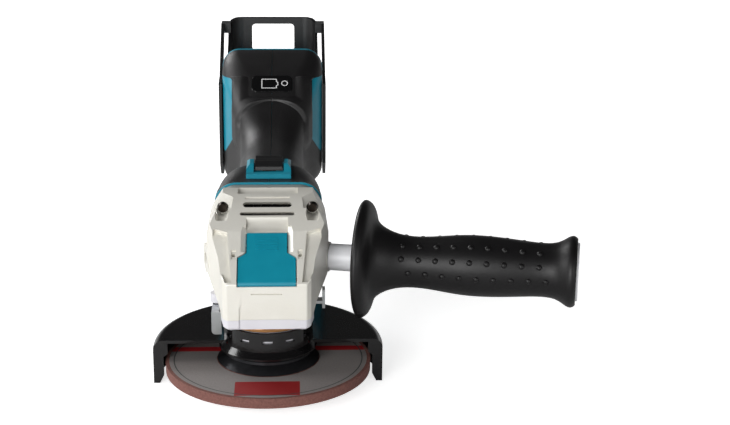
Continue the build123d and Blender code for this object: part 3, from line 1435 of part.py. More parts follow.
BLADES = 4
blade_pitch = 7.0
blade_t = 0.8
with BuildPart() as terminal_block:
    with BuildSketch(Plane.XZ.offset(-BODY_REAR_Y - RUN_FIT)):
        with Locations((0, (TERMINAL_BOTTOM + TERMINAL_TOP) / 2)):
            RectangleRounded(2 * TERMINAL_HALF, TERMINAL_TOP - TERMINAL_BOTTOM, 2.0)
    extrude(amount=-TERMINAL_DEPTH)
    with BuildSketch(Plane.XY.offset(TERMINAL_BOTTOM - 1.0)):
        with Locations((0, BODY_REAR_Y + 2.0)):
            with GridLocations(blade_pitch, 1.0, BLADES, 1):
                Rectangle(3.0, TERMINAL_DEPTH, align=(Align.CENTER, Align.MIN))
    extrude(amount=TERMINAL_TOP - TERMINAL_BOTTOM - 8.0, mode=Mode.SUBTRACT)

with BuildPart() as terminal_blades:
    with BuildSketch(Plane.XY.offset(TERMINAL_BOTTOM + 1.0)):
        with Locations((0, BODY_REAR_Y + 2.0 + RUN_FIT)):
            with GridLocations(blade_pitch, 1.0, BLADES, 1):
                Rectangle(blade_t, TERMINAL_DEPTH - 3.5, align=(Align.CENTER, Align.MIN))
    extrude(amount=TERMINAL_TOP - TERMINAL_BOTTOM - 11.0)

# Battery guard: a hoop round the battery's upper end, on arms from the housing's sides
plate_in = BELL_HALF + 0.2
plate_t = SIDE_PLATE_OUT - plate_in
hoop_front_y = BODY_REAR_Y + RUN_FIT
hoop_corner_r = 12.0
with BuildPart() as battery_guard:
    with BuildSketch(Plane.XY.offset(HOOP_BOTTOM)):
        with Locations((0, hoop_front_y)):
            RectangleRounded(2 * HOOP_HALF, 2 * (HOOP_REAR_Y - hoop_front_y), hoop_corner_r)
            RectangleRounded(
                2 * (HOOP_HALF - HOOP_WALL),
                2 * (HOOP_REAR_Y - HOOP_WALL - hoop_front_y),
                hoop_corner_r - HOOP_WALL,
                mode=Mode.SUBTRACT,
            )
    extrude(amount=HOOP_TOP - HOOP_BOTTOM)
    with BuildSketch(Plane.YZ.offset(-HOOP_HALF - 1)):
        with BuildLine():
            Polyline(
                (HOOP_REAR_Y + 1, HOOP_TOP),
                (HOOP_REAR_Y + 1, HOOP_BOTTOM),
                (hoop_front_y, HOOP_BOTTOM),
                (hoop_front_y, HOOP_BOTTOM + 6.0),
            )
            Spline(
                (hoop_front_y, HOOP_BOTTOM + 6.0),
                (hoop_front_y + 20, HOOP_BOTTOM + 13.0),
                (HOOP_REAR_Y - 16, HOOP_TOP - 10.0),
                (HOOP_REAR_Y - 4, HOOP_TOP - 1.0),
                (HOOP_REAR_Y + 1, HOOP_TOP),
            )
        make_face()
    extrude(amount=2 * HOOP_HALF + 2, mode=Mode.INTERSECT)
    # Window in the rear wall
    with BuildSketch(Plane.XZ.offset(-HOOP_REAR_Y + 10)):
        with Locations((0, (WINDOW_BOTTOM + WINDOW_TOP) / 2)):
            RectangleRounded(2 * WINDOW_HALF, WINDOW_TOP - WINDOW_BOTTOM, 3.0)
    extrude(amount=-20, mode=Mode.SUBTRACT)
    # Arms and shoulders
    for side in (-1, 1):
        with BuildSketch(Plane.YZ.offset(side * (plate_in + plate_t / 2))):
            polygon(
                [
                    (BELL_FULL_Y - 5.0, BELL_BOTTOM + 18.0),
                    (BELL_FULL_Y + 8.0, BELL_BOTTOM + 6.0),
                    (BODY_REAR_Y + 10.0, BELL_BOTTOM + 6.0),
                    (BODY_REAR_Y + 10.0, HOOP_BOTTOM - 4.0),
                    (HOOP_REAR_Y - 16.0, HOOP_TOP - 10.5),
                    (HOOP_REAR_Y - 6.0, HOOP_TOP - 10.5),
                    (HOOP_REAR_Y - 6.0, HOOP_TOP - 2.5),
                    (HOOP_REAR_Y - 21.0, HOOP_TOP - 2.5),
                    (BODY_REAR_Y - 4.0, HOOP_BOTTOM + 2.0),
                    (BELL_FULL_Y - 5.0, HOOP_BOTTOM - 1.0),
                ]
            )
        extrude(amount=plate_t / 2, both=True)
        with BuildSketch(Plane.XY.offset(HOOP_TOP - 10.5)):
            with Locations((side * (HOOP_HALF - 2.0), HOOP_REAR_Y - 12.0)):
                Rectangle(
                    SIDE_PLATE_OUT - HOOP_HALF + 2.0,
                    12.0,
                    align=(Align.MIN if side > 0 else Align.MAX, Align.CENTER),
                )
        extrude(amount=8.0)

# Release lever: sloped plate with finger ridges and a hinge barrel
with BuildPart() as release_lever:
    with BuildSketch(lever_plane.offset(-LEVER_T)):
        lever_outline(0)
    extrude(amount=LEVER_T)
    with BuildSketch(Plane.YZ.offset(-LEVER_HALF)):
        with Locations((pivot_y, pivot_z)):
            Circle(LEVER_BARREL_R)
    extrude(amount=2 * LEVER_HALF)
    with BuildSketch(Plane.YZ.offset(-LEVER_HALF - 1)):
        with Locations((pivot_y, pivot_z)):
            Circle(LEVER_PIN_R + RUN_FIT)
    extrude(amount=2 * LEVER_HALF + 2, mode=Mode.SUBTRACT)
    for ridge in range(3):
        with BuildSketch(lever_plane):
            with Locations((0, lever_length - 4.0 - 3.4 * ridge)):
                SlotOverall(13.0, 1.2)
        extrude(amount=0.6)

with BuildPart() as lever_pin:
    with BuildSketch(Plane.YZ.offset(-LEVER_HALF - 3.5)):
        with Locations((pivot_y, pivot_z)):
            Circle(LEVER_PIN_R)
    extrude(amount=2 * LEVER_HALF + 7.0)

# Rocker that turns the lever's lift into a push on the rod, and its pin
with BuildPart() as release_rocker:
    with BuildSketch(Plane.YZ.offset(-ROCKER_HALF)):
        polygon(rocker_outline)
        with Locations((ROCKER_PIN_Y, ROCKER_PIN_Z)):
            Circle(ROCKER_PIN_R + RUN_FIT, mode=Mode.SUBTRACT)
    extrude(amount=2 * ROCKER_HALF)

with BuildPart() as rocker_pin:
    with BuildSketch(Plane.YZ.offset(-LEVER_HALF - 1.8)):
        with Locations((ROCKER_PIN_Y, ROCKER_PIN_Z)):
            Circle(ROCKER_PIN_R)
    extrude(amount=2 * LEVER_HALF + 3.6)

with BuildPart() as release_rod:
    with BuildSketch(Plane.XY.offset(rod_low)):
        Circle(ROD_R)
    extrude(amount=rod_high - rod_low)

# Quick-lock hub on the spindle's end, with the two jaws in their slots
jaw_in = 5.6
with BuildPart() as lock_hub:
    with BuildSketch(Plane.XZ):
        polygon(
            [
                (ROD_R + MOVE_GAP, lock_body_low),
                (lock_body_r - 1.0, lock_body_low),
                (lock_body_r, lock_body_low + 1.0),
                (lock_body_r, lock_flange_low),
                (LOCK_FLANGE_R, lock_flange_low),
                (LOCK_FLANGE_R, lock_flange_high - 0.6),
                (LOCK_FLANGE_R - 0.8, lock_flange_high),
                (lock_neck_r, lock_flange_high),
                (lock_neck_r, lock_neck_top),
                (SPINDLE_R + RUN_FIT, lock_neck_top),
                (SPINDLE_R + RUN_FIT, spindle_low - RUN_FIT),
                (ROD_R + MOVE_GAP, spindle_low - RUN_FIT),
            ]
        )
    revolve(axis=Axis.Z)
    with BuildSketch(Plane.XY.offset(jaw_low - SLIP_FIT)):
        Rectangle(3 * lock_body_r, JAW_W + 2 * SLIP_FIT)
    extrude(amount=lock_flange_low - jaw_low + SLIP_FIT, mode=Mode.SUBTRACT)

with BuildPart() as lock_jaw_right:
    with BuildSketch(Plane.XY.offset(jaw_low)):
        Circle(JAW_REACH)
        with Locations((jaw_in, 0)):
            Rectangle(JAW_REACH, JAW_W, align=(Align.MIN, Align.CENTER), mode=Mode.INTERSECT)
    extrude(amount=JAW_T)

with BuildPart() as lock_jaw_left:
    with BuildSketch(Plane.XY.offset(jaw_low)):
        Circle(JAW_REACH)
        with Locations((-jaw_in, 0)):
            Rectangle(JAW_REACH, JAW_W, align=(Align.MAX, Align.CENTER), mode=Mode.INTERSECT)
    extrude(amount=JAW_T)

# Grinding wheel with its drawn-up centre, and the steel hub plate on it
with BuildPart() as grinding_wheel:
    with BuildSketch(Plane.XZ):
        polygon(
            [
                (WHEEL_BORE_R, WHEEL_DISH),
                (DISH_TOP_R - 0.8, WHEEL_DISH),
                (DISH_FOOT_R - 0.8, 0),
                (WHEEL_R, 0),
                (WHEEL_R, WHEEL_T),
                (DISH_FOOT_R, WHEEL_T),
                (DISH_TOP_R, dish_top),
                (WHEEL_BORE_R, dish_top),
            ]
        )
    revolve(axis=Axis.Z)

with BuildPart() as wheel_hub_plate:
    with BuildSketch(Plane.XZ):
        polygon(
            [
                (HUB_PLATE_BORE_R, hub_plate_low),
                (DISH_TOP_R + 0.1, hub_plate_low),
                (DISH_FOOT_R + 0.1, WHEEL_T + RUN_FIT),
                (DISH_FOOT_R + 0.6, WHEEL_T + RUN_FIT + 0.5),
                (DISH_TOP_R + 0.4, hub_plate_high),
                (HUB_PLATE_BORE_R, hub_plate_high),
            ]
        )
    revolve(axis=Axis.Z)

# Side handle: stud, tube, moulded grip and end plug, all on one leaning axis
stud_in = HANDLE_THREAD_DEPTH - 1.0
stud_out = 10.0
rod_end = HANDLE_ROD_SHOWN + 26.0
with BuildPart() as handle_stud:
    with BuildSketch(Plane(origin=handle_start, z_dir=handle_dir).offset(-stud_in)):
        Circle(HANDLE_THREAD_R - RUN_FIT)
    extrude(amount=stud_in + stud_out)

with BuildPart() as handle_rod:
    with BuildSketch(Plane(origin=handle_start, z_dir=handle_dir).offset(SLIP_FIT)):
        Circle(HANDLE_ROD_R)
    extrude(amount=rod_end - SLIP_FIT)
    chamfer(handle_rod.edges().filter_by(GeomType.CIRCLE), length=0.5)
    with BuildSketch(Plane(origin=handle_start, z_dir=handle_dir)):
        Circle(HANDLE_THREAD_R + RUN_FIT)
    extrude(amount=stud_out + 0.5, mode=Mode.SUBTRACT)

flange_s = HANDLE_ROD_SHOWN
grip_bore_r = HANDLE_ROD_R + RUN_FIT
with BuildPart() as handle_grip:
    with BuildSketch(handle_plane):
        with BuildLine():
            Polyline(
                (rod_end + SLIP_FIT, 0),
                (rod_end + SLIP_FIT, grip_bore_r),
                (flange_s + 0.8, grip_bore_r),
                (flange_s, grip_bore_r + 6.0),
                (flange_s - 0.6, HANDLE_FLANGE_R - 2.6),
            )
            Spline(
                (flange_s - 0.6, HANDLE_FLANGE_R - 2.6),
                (flange_s + 1.8, HANDLE_FLANGE_R),
                (flange_s + 5.4, HANDLE_FLANGE_R - 2.0),
                (flange_s + 9.0, HANDLE_FLANGE_R - 11.0),
                (flange_s + 16.0, HANDLE_NECK_R + 3.4),
                (flange_s + 30.0, HANDLE_NECK_R),
                (flange_s + 62.0, HANDLE_BELLY_R),
                (HANDLE_LENGTH - 30.0, HANDLE_NECK_R + 1.0),
                (HANDLE_LENGTH - 18.0, HANDLE_NECK_R + 0.5),
                (HANDLE_LENGTH - 9.0, HANDLE_END_R - 3.0),
                (HANDLE_LENGTH - 2.6, HANDLE_END_R),
                (HANDLE_LENGTH, HANDLE_END_R - 1.6),
            )
            Polyline(
                (HANDLE_LENGTH, HANDLE_END_R - 1.6),
                (HANDLE_LENGTH, 0),
                (rod_end + SLIP_FIT, 0),
            )
        make_face()
    revolve(axis=handle_axis)

with BuildPart() as handle_plug:
    with BuildSketch(Plane(origin=handle_start, z_dir=handle_dir).offset(HANDLE_LENGTH + RUN_FIT)):
        Circle(HANDLE_END_R - 4.0)
    extrude(amount=1.2)
    fillet(handle_plug.edges().filter_by(GeomType.CIRCLE).sort_by(Axis.X)[-1], radius=0.6)

pieces = {
    "gear_housing": gear_housing,
    "gear_housing_screws": gear_housing_screws,
    "air_baffle": air_baffle,
    "bearing_box": bearing_box,
    "bearing_box_screws": bearing_box_screws,
    "friction_ring": friction_ring,
    "wheel_guard": wheel_guard,
    "guard_lock_lever": guard_lock_lever,
    "guard_lever_pin": guard_lever_pin,
    "guard_stop": guard_stop,
    "spindle": spindle,
    "lower_spindle_bearing": lower_spindle_bearing,
    "upper_spindle_bearing": upper_spindle_bearing,
    "crown_gear": crown_gear,
    "pinion": pinion,
    "motor_shaft": motor_shaft,
    "front_motor_bearing": front_motor_bearing,
    "rear_motor_bearing": rear_motor_bearing,
    "fan": fan,
    "rotor_core": rotor_core,
    "stator_core": stator_core,
    "stator_coils": stator_coils,
    "housing_left": housing_left,
    "housing_right": housing_right,
    "grip_cover_left": grip_cover_left,
    "grip_cover_right": grip_cover_right,
    "side_trim_left": side_trim_left,
    "side_trim_right": side_trim_right,
    "switch_frame": switch_frame,
    "slide_switch": slide_switch,
    "switch_link": switch_link,
    "switch_unit": switch_unit,
    "indicator_panel": indicator_panel,
    "check_button": check_button,
    "control_board": control_board,
    "battery_rails": battery_rails,
    "terminal_block": terminal_block,
    "terminal_blades": terminal_blades,
    "battery_guard": battery_guard,
    "release_lever": release_lever,
    "lever_pin": lever_pin,
    "release_rocker": release_rocker,
    "rocker_pin": rocker_pin,
    "release_rod": release_rod,
    "lock_hub": lock_hub,
    "lock_jaw_left": lock_jaw_left,
    "lock_jaw_right": lock_jaw_right,
    "grinding_wheel": grinding_wheel,
    "wheel_hub_plate": wheel_hub_plate,
    "handle_stud": handle_stud,
    "handle_rod": handle_rod,
    "handle_grip": handle_grip,
    "handle_plug": handle_plug,
}
for name, piece in pieces.items():
    piece.part.label = name
    export_step(piece.part, f"parts/{name}.step")
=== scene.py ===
import math

import bmesh
import bpy
from mathutils import Matrix, Vector


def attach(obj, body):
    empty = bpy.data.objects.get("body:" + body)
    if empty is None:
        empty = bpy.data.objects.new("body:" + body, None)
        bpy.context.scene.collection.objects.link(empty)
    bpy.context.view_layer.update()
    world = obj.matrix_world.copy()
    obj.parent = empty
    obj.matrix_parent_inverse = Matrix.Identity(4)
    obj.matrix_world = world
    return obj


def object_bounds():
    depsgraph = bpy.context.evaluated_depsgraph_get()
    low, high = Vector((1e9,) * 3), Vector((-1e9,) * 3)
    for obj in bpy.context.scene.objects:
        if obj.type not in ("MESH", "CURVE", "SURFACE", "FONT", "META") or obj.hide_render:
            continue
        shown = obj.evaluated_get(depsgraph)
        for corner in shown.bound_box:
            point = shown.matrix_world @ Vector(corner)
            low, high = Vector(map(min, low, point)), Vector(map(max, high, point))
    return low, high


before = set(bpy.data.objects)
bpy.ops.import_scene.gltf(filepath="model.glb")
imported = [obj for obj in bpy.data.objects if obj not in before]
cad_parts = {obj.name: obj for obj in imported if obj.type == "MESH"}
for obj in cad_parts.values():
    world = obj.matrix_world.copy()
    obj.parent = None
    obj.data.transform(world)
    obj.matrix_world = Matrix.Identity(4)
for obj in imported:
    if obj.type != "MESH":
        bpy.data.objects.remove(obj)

cad_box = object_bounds()

# Gear housing: the die-cast aluminium head that holds the bevel gears, sprayed
# with a cream stoving enamel. Four long screws draw it onto the motor housing.
MM = 0.001


def linear(hex_colour):
    """Linear colour, with alpha, of an sRGB hex value."""
    shares = [int(hex_colour[i : i + 2], 16) / 255 for i in (1, 3, 5)]
    return [
        c / 12.92 if c <= 0.04045 else ((c + 0.055) / 1.055) ** 2.4 for c in shares
    ] + [1.0]


def add_node(tree, kind, inputs=None, **settings):
    """Adds a node, sets its settings, and feeds its inputs with values or outputs."""
    made = tree.nodes.new(kind)
    for name, value in settings.items():
        setattr(made, name, value)
    for name, value in (inputs or {}).items():
        if isinstance(value, bpy.types.NodeSocket):
            tree.links.new(value, made.inputs[name])
        else:
            made.inputs[name].default_value = value
    return made


def start_material(name, hex_colour, roughness, metallic=0.0):
    """A material with its shader's constants set, ready for its surface detail."""
    material = bpy.data.materials.new(name)
    material.use_nodes = True
    shader = material.node_tree.nodes["Principled BSDF"]
    shader.inputs["Base Color"].default_value = linear(hex_colour)
    shader.inputs["Roughness"].default_value = roughness
    shader.inputs["Metallic"].default_value = metallic
    return material, material.node_tree, shader


def mottle(tree, shader, dark, light, patch_mm, roughness, stretch=(1, 1, 1)):
    """Lets colour and roughness drift between two values over patches of a real size."""
    place = add_node(tree, "ShaderNodeTexCoord")
    drawn = add_node(
        tree, "ShaderNodeMapping", {"Vector": place.outputs["Object"], "Scale": stretch}
    )
    patches = add_node(
        tree,
        "ShaderNodeTexNoise",
        {"Vector": drawn.outputs[0], "Scale": 1 / (patch_mm * MM), "Detail": 4.0},
    )
    tint = add_node(
        tree,
        "ShaderNodeMix",
        {"Factor": patches.outputs["Fac"], "A": linear(dark), "B": linear(light)},
        data_type="RGBA",
    )
    tree.links.new(tint.outputs["Result"], shader.inputs["Base Color"])
    smoothest, roughest = roughness
    gloss = add_node(
        tree,
        "ShaderNodeMapRange",
        {"Value": patches.outputs["Fac"], "To Min": smoothest, "To Max": roughest},
    )
    tree.links.new(gloss.outputs[0], shader.inputs["Roughness"])
    return drawn


def emboss(tree, shader, place, grain_mm, depth_mm, detail=2.0):
    """Raises a fine grain of a real size and depth on the surface."""
    grain = add_node(
        tree,
        "ShaderNodeTexNoise",
        {"Vector": place.outputs[0], "Scale": 1 / (grain_mm * MM), "Detail": detail},
    )
    raised = add_node(
        tree,
        "ShaderNodeBump",
        {"Height": grain.outputs["Fac"], "Strength": 1.0, "Distance": depth_mm * MM},
    )
    tree.links.new(raised.outputs[0], shader.inputs["Normal"])


def dress(material, *names):
    """Gives CAD nodes their material."""
    for name in names:
        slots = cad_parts[name].data.materials
        slots.clear()
        slots.append(material)


# Stoving enamel with a little aluminium flake: satin, brighter where it faces the light,
# with the slight orange peel of a sprayed coat.
cream_enamel, tree, shader = start_material(
    "cream_stoving_enamel", "#E3E1D8", roughness=0.36, metallic=0.2
)
shader.inputs["Coat Weight"].default_value = 0.25
shader.inputs["Coat Roughness"].default_value = 0.22
place = mottle(tree, shader, "#DEDBD1", "#E7E5DD", patch_mm=14, roughness=(0.33, 0.42))
emboss(tree, shader, place, grain_mm=1.1, depth_mm=0.05)
dress(cream_enamel, "gear_housing")

# Gear housing screws: four long cap screws of blackened steel, turned and thread-rolled.
# They run back through the head's corners into the motor housing.
# Black oxide: a brownish bloom with soft, oily highlights.
black_oxide, tree, shader = start_material(
    "black_oxide_steel", "#2B2723", roughness=0.34, metallic=1.0
)
place = mottle(tree, shader, "#241F1C", "#3A3530", patch_mm=2, roughness=(0.28, 0.42))
emboss(tree, shader, place, grain_mm=0.3, depth_mm=0.01)
dress(black_oxide, "gear_housing_screws")

# Air baffle: the moulded ring between the head and the motor housing, which turns the
# fan's air forward. It is clamped by the four long screws.
# Glass-filled nylon: dull grey, faintly clouded where the fibres lie.
grey_nylon, tree, shader = start_material(
    "grey_glass_filled_nylon", "#8B8D88", roughness=0.48
)
place = mottle(tree, shader, "#838580", "#92948F", patch_mm=9, roughness=(0.44, 0.54))
emboss(tree, shader, place, grain_mm=0.5, depth_mm=0.02)
dress(grey_nylon, "air_baffle")

# Bearing box: a second, smaller aluminium casting screwed under the head, which holds
# the spindle's lower bearing and carries the guard on its neck.
# The same kind of enamel without flake: cooler and a little duller than the head.
pale_enamel, tree, shader = start_material(
    "pale_stoving_enamel", "#D6D5DA", roughness=0.38
)
place = mottle(tree, shader, "#CFCED4", "#DBDADF", patch_mm=12, roughness=(0.34, 0.44))
emboss(tree, shader, place, grain_mm=1.1, depth_mm=0.05)
dress(pale_enamel, "bearing_box")

# Zinc-plated pieces: box screws, guard lock lever and stop, hinge pins, release rocker
# and handle stud, all pressed or turned from mild steel.
# Zinc plate: a bright bluish silver whose cloudy patches break up reflections.
zinc_plate, tree, shader = start_material(
    "zinc_plated_steel", "#B4B8BA", roughness=0.28, metallic=1.0
)
place = mottle(tree, shader, "#A9ADB0", "#C0C3C2", patch_mm=5, roughness=(0.22, 0.36))
emboss(tree, shader, place, grain_mm=0.6, depth_mm=0.012)
dress(
    zinc_plate,
    "bearing_box_screws",
    "guard_lock_lever",
    "guard_lever_pin",
    "guard_stop",
    "lever_pin",
    "rocker_pin",
    "release_rocker",
    "handle_stud",
)

# Friction ring: a turned bronze band on the bearing box's neck, which the guard's
# collar rubs on when it is swung round.
# Turned bronze: warm brown-gold, with fine rings left by the lathe.
bronze, tree, shader = start_material(
    "turned_bronze", "#A8794E", roughness=0.30, metallic=1.0
)
place = mottle(
    tree,
    shader,
    "#96683F",
    "#B98A5D",
    patch_mm=3,
    roughness=(0.24, 0.38),
    stretch=(1, 1, 6),
)
emboss(tree, shader, place, grain_mm=0.4, depth_mm=0.01)
dress(bronze, "friction_ring")

# Wheel guard: a half round of pressed steel sheet on a slotted collar, which turns on
# the bearing box's neck and is held by the lock lever.
# Powder coat: deep gloss black with a slow ripple in its reflections.
powder_coat, tree, shader = start_material(
    "black_powder_coat", "#0B0A0B", roughness=0.13
)
place = mottle(tree, shader, "#090809", "#0E0D0E", patch_mm=20, roughness=(0.10, 0.16))
emboss(tree, shader, place, grain_mm=1.6, depth_mm=0.03)
dress(powder_coat, "wheel_guard")

# Spindle, gears, motor shaft, release rod and lock jaws: alloy steel, hardened and ground.
# The gears are pressed onto the two shafts, and the rod runs down the spindle's bore.
# Ground steel: a neutral grey, with fine lines round the spindle.
ground_steel, tree, shader = start_material(
    "ground_alloy_steel", "#8F9193", roughness=0.26, metallic=1.0
)
place = mottle(
    tree,
    shader,
    "#828486",
    "#9C9EA0",
    patch_mm=3,
    roughness=(0.20, 0.34),
    stretch=(1, 1, 8),
)
emboss(tree, shader, place, grain_mm=0.25, depth_mm=0.006)
dress(
    ground_steel,
    "spindle",
    "crown_gear",
    "pinion",
    "motor_shaft",
    "release_rod",
    "lock_jaw_left",
    "lock_jaw_right",
)

# Ball bearings: hardened steel rings, ground and polished, pressed onto the spindle and
# the motor shaft and seated in the castings and the housing.
# Polished steel: nearly a mirror, with hardly any cloud.
bearing_steel, tree, shader = start_material(
    "polished_bearing_steel", "#C9CBCC", roughness=0.14, metallic=1.0
)
place = mottle(tree, shader, "#BFC1C3", "#D2D4D5", patch_mm=2, roughness=(0.10, 0.20))
emboss(tree, shader, place, grain_mm=0.2, depth_mm=0.003)
dress(
    bearing_steel,
    "lower_spindle_bearing",
    "upper_spindle_bearing",
    "front_motor_bearing",
    "rear_motor_bearing",
)

# Motor: cores of stacked silicon steel on the shaft and in the housing, wound with
# enamelled copper. The battery's terminal blades are copper too.
# Varnished laminations: dark steel, finely striped where sheet meets sheet.
laminations, tree, shader = start_material(
    "varnished_laminations", "#56575A", roughness=0.42, metallic=0.8
)
place = mottle(
    tree,
    shader,
    "#4A4B4E",
    "#626366",
    patch_mm=0.5,
    roughness=(0.36, 0.50),
    stretch=(0.05, 6, 0.05),
)
emboss(tree, shader, place, grain_mm=0.5, depth_mm=0.05)
dress(laminations, "rotor_core", "stator_core")
# Enamelled wire: warm copper with the ripple of wound strands.
copper_wire, tree, shader = start_material(
    "enamelled_copper_wire", "#B4683C", roughness=0.30, metallic=1.0
)
place = mottle(
    tree,
    shader,
    "#9C5530",
    "#C97E4E",
    patch_mm=0.9,
    roughness=(0.24, 0.40),
    stretch=(6, 1, 6),
)
emboss(tree, shader, place, grain_mm=0.9, depth_mm=0.12)
dress(copper_wire, "stator_coils", "terminal_blades")

# Fan, switch unit and knob, battery rails, terminal block and battery guard: moulded in
# black nylon. The fan sits on the motor shaft, the rest on the housing. The link is grey.
# Spark-eroded mould grain: satin black that keeps highlights soft.
black_nylon, tree, shader = start_material(
    "black_glass_filled_nylon", "#131314", roughness=0.40
)
place = mottle(tree, shader, "#111112", "#171718", patch_mm=8, roughness=(0.36, 0.46))
emboss(tree, shader, place, grain_mm=0.45, depth_mm=0.02)
dress(
    black_nylon,
    "fan",
    "switch_unit",
    "slide_switch",
    "battery_rails",
    "terminal_block",
    "battery_guard",
)
dress(grey_nylon, "switch_link")

# Control board: glass-fibre epoxy with the parts that drive the motor, held across the
# housing's battery end in front of the terminals.
# Solder mask: semi-gloss green, a little uneven where it was curtain-coated.
board, tree, shader = start_material("epoxy_board_solder_mask", "#1D5A37", roughness=0.35)
place = mottle(tree, shader, "#1A5232", "#226640", patch_mm=4, roughness=(0.30, 0.42))
emboss(tree, shader, place, grain_mm=1.2, depth_mm=0.03)
dress(board, "control_board")

# Motor housing halves, side trims, switch frame and release lever: moulded in teal
# glass-filled nylon. The halves close on each other along the middle.
# Colour right through the plastic: even teal with a satin shine.
teal_nylon, tree, shader = start_material(
    "teal_glass_filled_nylon", "#00839A", roughness=0.38
)
place = mottle(tree, shader, "#007D94", "#058CA2", patch_mm=10, roughness=(0.34, 0.44))
emboss(tree, shader, place, grain_mm=0.6, depth_mm=0.02)
dress(
    teal_nylon,
    "housing_left",
    "housing_right",
    "side_trim_left",
    "side_trim_right",
    "switch_frame",
    "release_lever",
)

# Grip covers: soft thermoplastic rubber moulded over the two halves of the housing, from
# the drum to the battery end.
# Pebbled rubber: a grain, drawn coarser than life, that scatters highlights.
soft_rubber, tree, shader = start_material(
    "pebbled_soft_rubber", "#141314", roughness=0.46
)
place = mottle(tree, shader, "#111011", "#181718", patch_mm=12, roughness=(0.41, 0.52))
emboss(tree, shader, place, grain_mm=0.7, depth_mm=0.09, detail=3.0)
dress(soft_rubber, "grip_cover_left", "grip_cover_right")

# Lock hub and the wheel's hub plate: turned and pressed from steel. The hub sits on the
# spindle's end, and the plate is bonded onto the wheel's raised middle.
# Bluing: blue-black, with dull metallic highlights.
blued_steel, tree, shader = start_material(
    "blued_steel", "#3A3B3E", roughness=0.36, metallic=0.85
)
place = mottle(tree, shader, "#323336", "#444548", patch_mm=4, roughness=(0.30, 0.44))
emboss(tree, shader, place, grain_mm=0.5, depth_mm=0.01)
dress(blued_steel, "lock_hub", "wheel_hub_plate")

# Grinding wheel: aluminium-oxide grit in a reddish resin, pressed round glass mesh and
# baked. The lock's jaws hold it on the hub.
# Bonded grit: rough and speckled, with no shine.
grit_resin, tree, shader = start_material("resin_bonded_grit", "#6E443D", roughness=0.82)
place = mottle(tree, shader, "#4E2C27", "#8C5E55", patch_mm=1.1, roughness=(0.72, 0.92))
emboss(tree, shader, place, grain_mm=0.9, depth_mm=0.25, detail=3.0)
dress(grit_resin, "grinding_wheel")

# Handle rod and end plug: moulded nylon. The rod turns onto the stud in the head's side,
# and the plug closes the grip's outer end.
# Natural nylon: milky and smooth.
pale_nylon, tree, shader = start_material("pale_moulded_nylon", "#E6E7EA", roughness=0.36)
place = mottle(tree, shader, "#E1E2E6", "#EBECEE", patch_mm=10, roughness=(0.32, 0.42))
emboss(tree, shader, place, grain_mm=0.6, depth_mm=0.01)
dress(pale_nylon, "handle_rod", "handle_plug")

# Handle grip: a black rubber sleeve moulded onto the rod, with low domes in staggered
# rows. The strip below the front rows stays plain.
# Harder rubber than the covers: blacker, with a finer grain and a weaker shine.
handle_rubber, tree, shader = start_material(
    "moulded_handle_rubber", "#0F0E0F", roughness=0.42
)
shader.inputs["Specular IOR Level"].default_value = 0.34
place = mottle(tree, shader, "#0C0B0C", "#121112", patch_mm=12, roughness=(0.38, 0.48))
emboss(tree, shader, place, grain_mm=0.6, depth_mm=0.07, detail=3.0)
dress(handle_rubber, "handle_grip")
HANDLE_START = Vector((37.7, 12.0, 66.5)) * MM
HANDLE_LEAN = math.radians(12.2)
BUMP_R = 1.9 * MM
BUMP_RISE = 1.15 * MM
BUMP_ROOT = 0.3 * MM
BUMP_STEP = 10.2 * MM
BUMP_COUNT = 9
FIRST_BUMP = 46.0 * MM
STAGGER = 4.4 * MM
BUMP_ROWS = [(-8, 1), (23, 0), (54, 0), (126, 0), (157, 0), (188, 1)]
DOME_RINGS = 4
DOME_SIDES = 14
OUTSIDE_GRIP = 60.0 * MM
handle_out = Vector((math.cos(HANDLE_LEAN), -math.sin(HANDLE_LEAN), 0))
handle_front = Vector((-math.sin(HANDLE_LEAN), -math.cos(HANDLE_LEAN), 0))


def circle(radius, sides):
    """Points of a flat circle round the origin."""
    return [
        Vector((radius * math.cos(t), radius * math.sin(t), 0))
        for t in (2 * math.pi * k / sides for k in range(sides))
    ]


def add_dome(shape, seat, normal):
    """Adds a closed dome whose root lies a little below its seat."""
    turn = normal.to_track_quat("Z", "Y").to_matrix()
    rings = []
    for ring in range(DOME_RINGS):
        tilt = math.pi / 2 * ring / DOME_RINGS
        rise = Vector((0, 0, (BUMP_RISE + BUMP_ROOT) * math.sin(tilt) - BUMP_ROOT))
        spokes = circle(BUMP_R * math.cos(tilt), DOME_SIDES)
        rings.append([shape.verts.new(seat + turn @ (s + rise)) for s in spokes])
    for lower, upper in zip(rings, rings[1:]):
        for k in range(DOME_SIDES):
            n = (k + 1) % DOME_SIDES
            shape.faces.new((lower[k], lower[n], upper[n], upper[k]))
    shape.faces.new(reversed(rings[0]))
    peak = shape.verts.new(seat + normal * BUMP_RISE)
    for k in range(DOME_SIDES):
        shape.faces.new((rings[-1][k], rings[-1][(k + 1) % DOME_SIDES], peak))


def add_object(name, data):
    """Puts new data into the scene as an object."""
    made = bpy.data.objects.new(name, data)
    bpy.context.scene.collection.objects.link(made)
    return made


def make_piece(name, shape, material, body, smooth=True):
    """Turns a finished bmesh into a piece that rides on a body."""
    mesh = bpy.data.meshes.new(name)
    shape.to_mesh(mesh)
    shape.free()
    for face in mesh.polygons:
        face.use_smooth = smooth
    mesh.materials.append(material)
    piece = add_object(name, mesh)
    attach(piece, body)


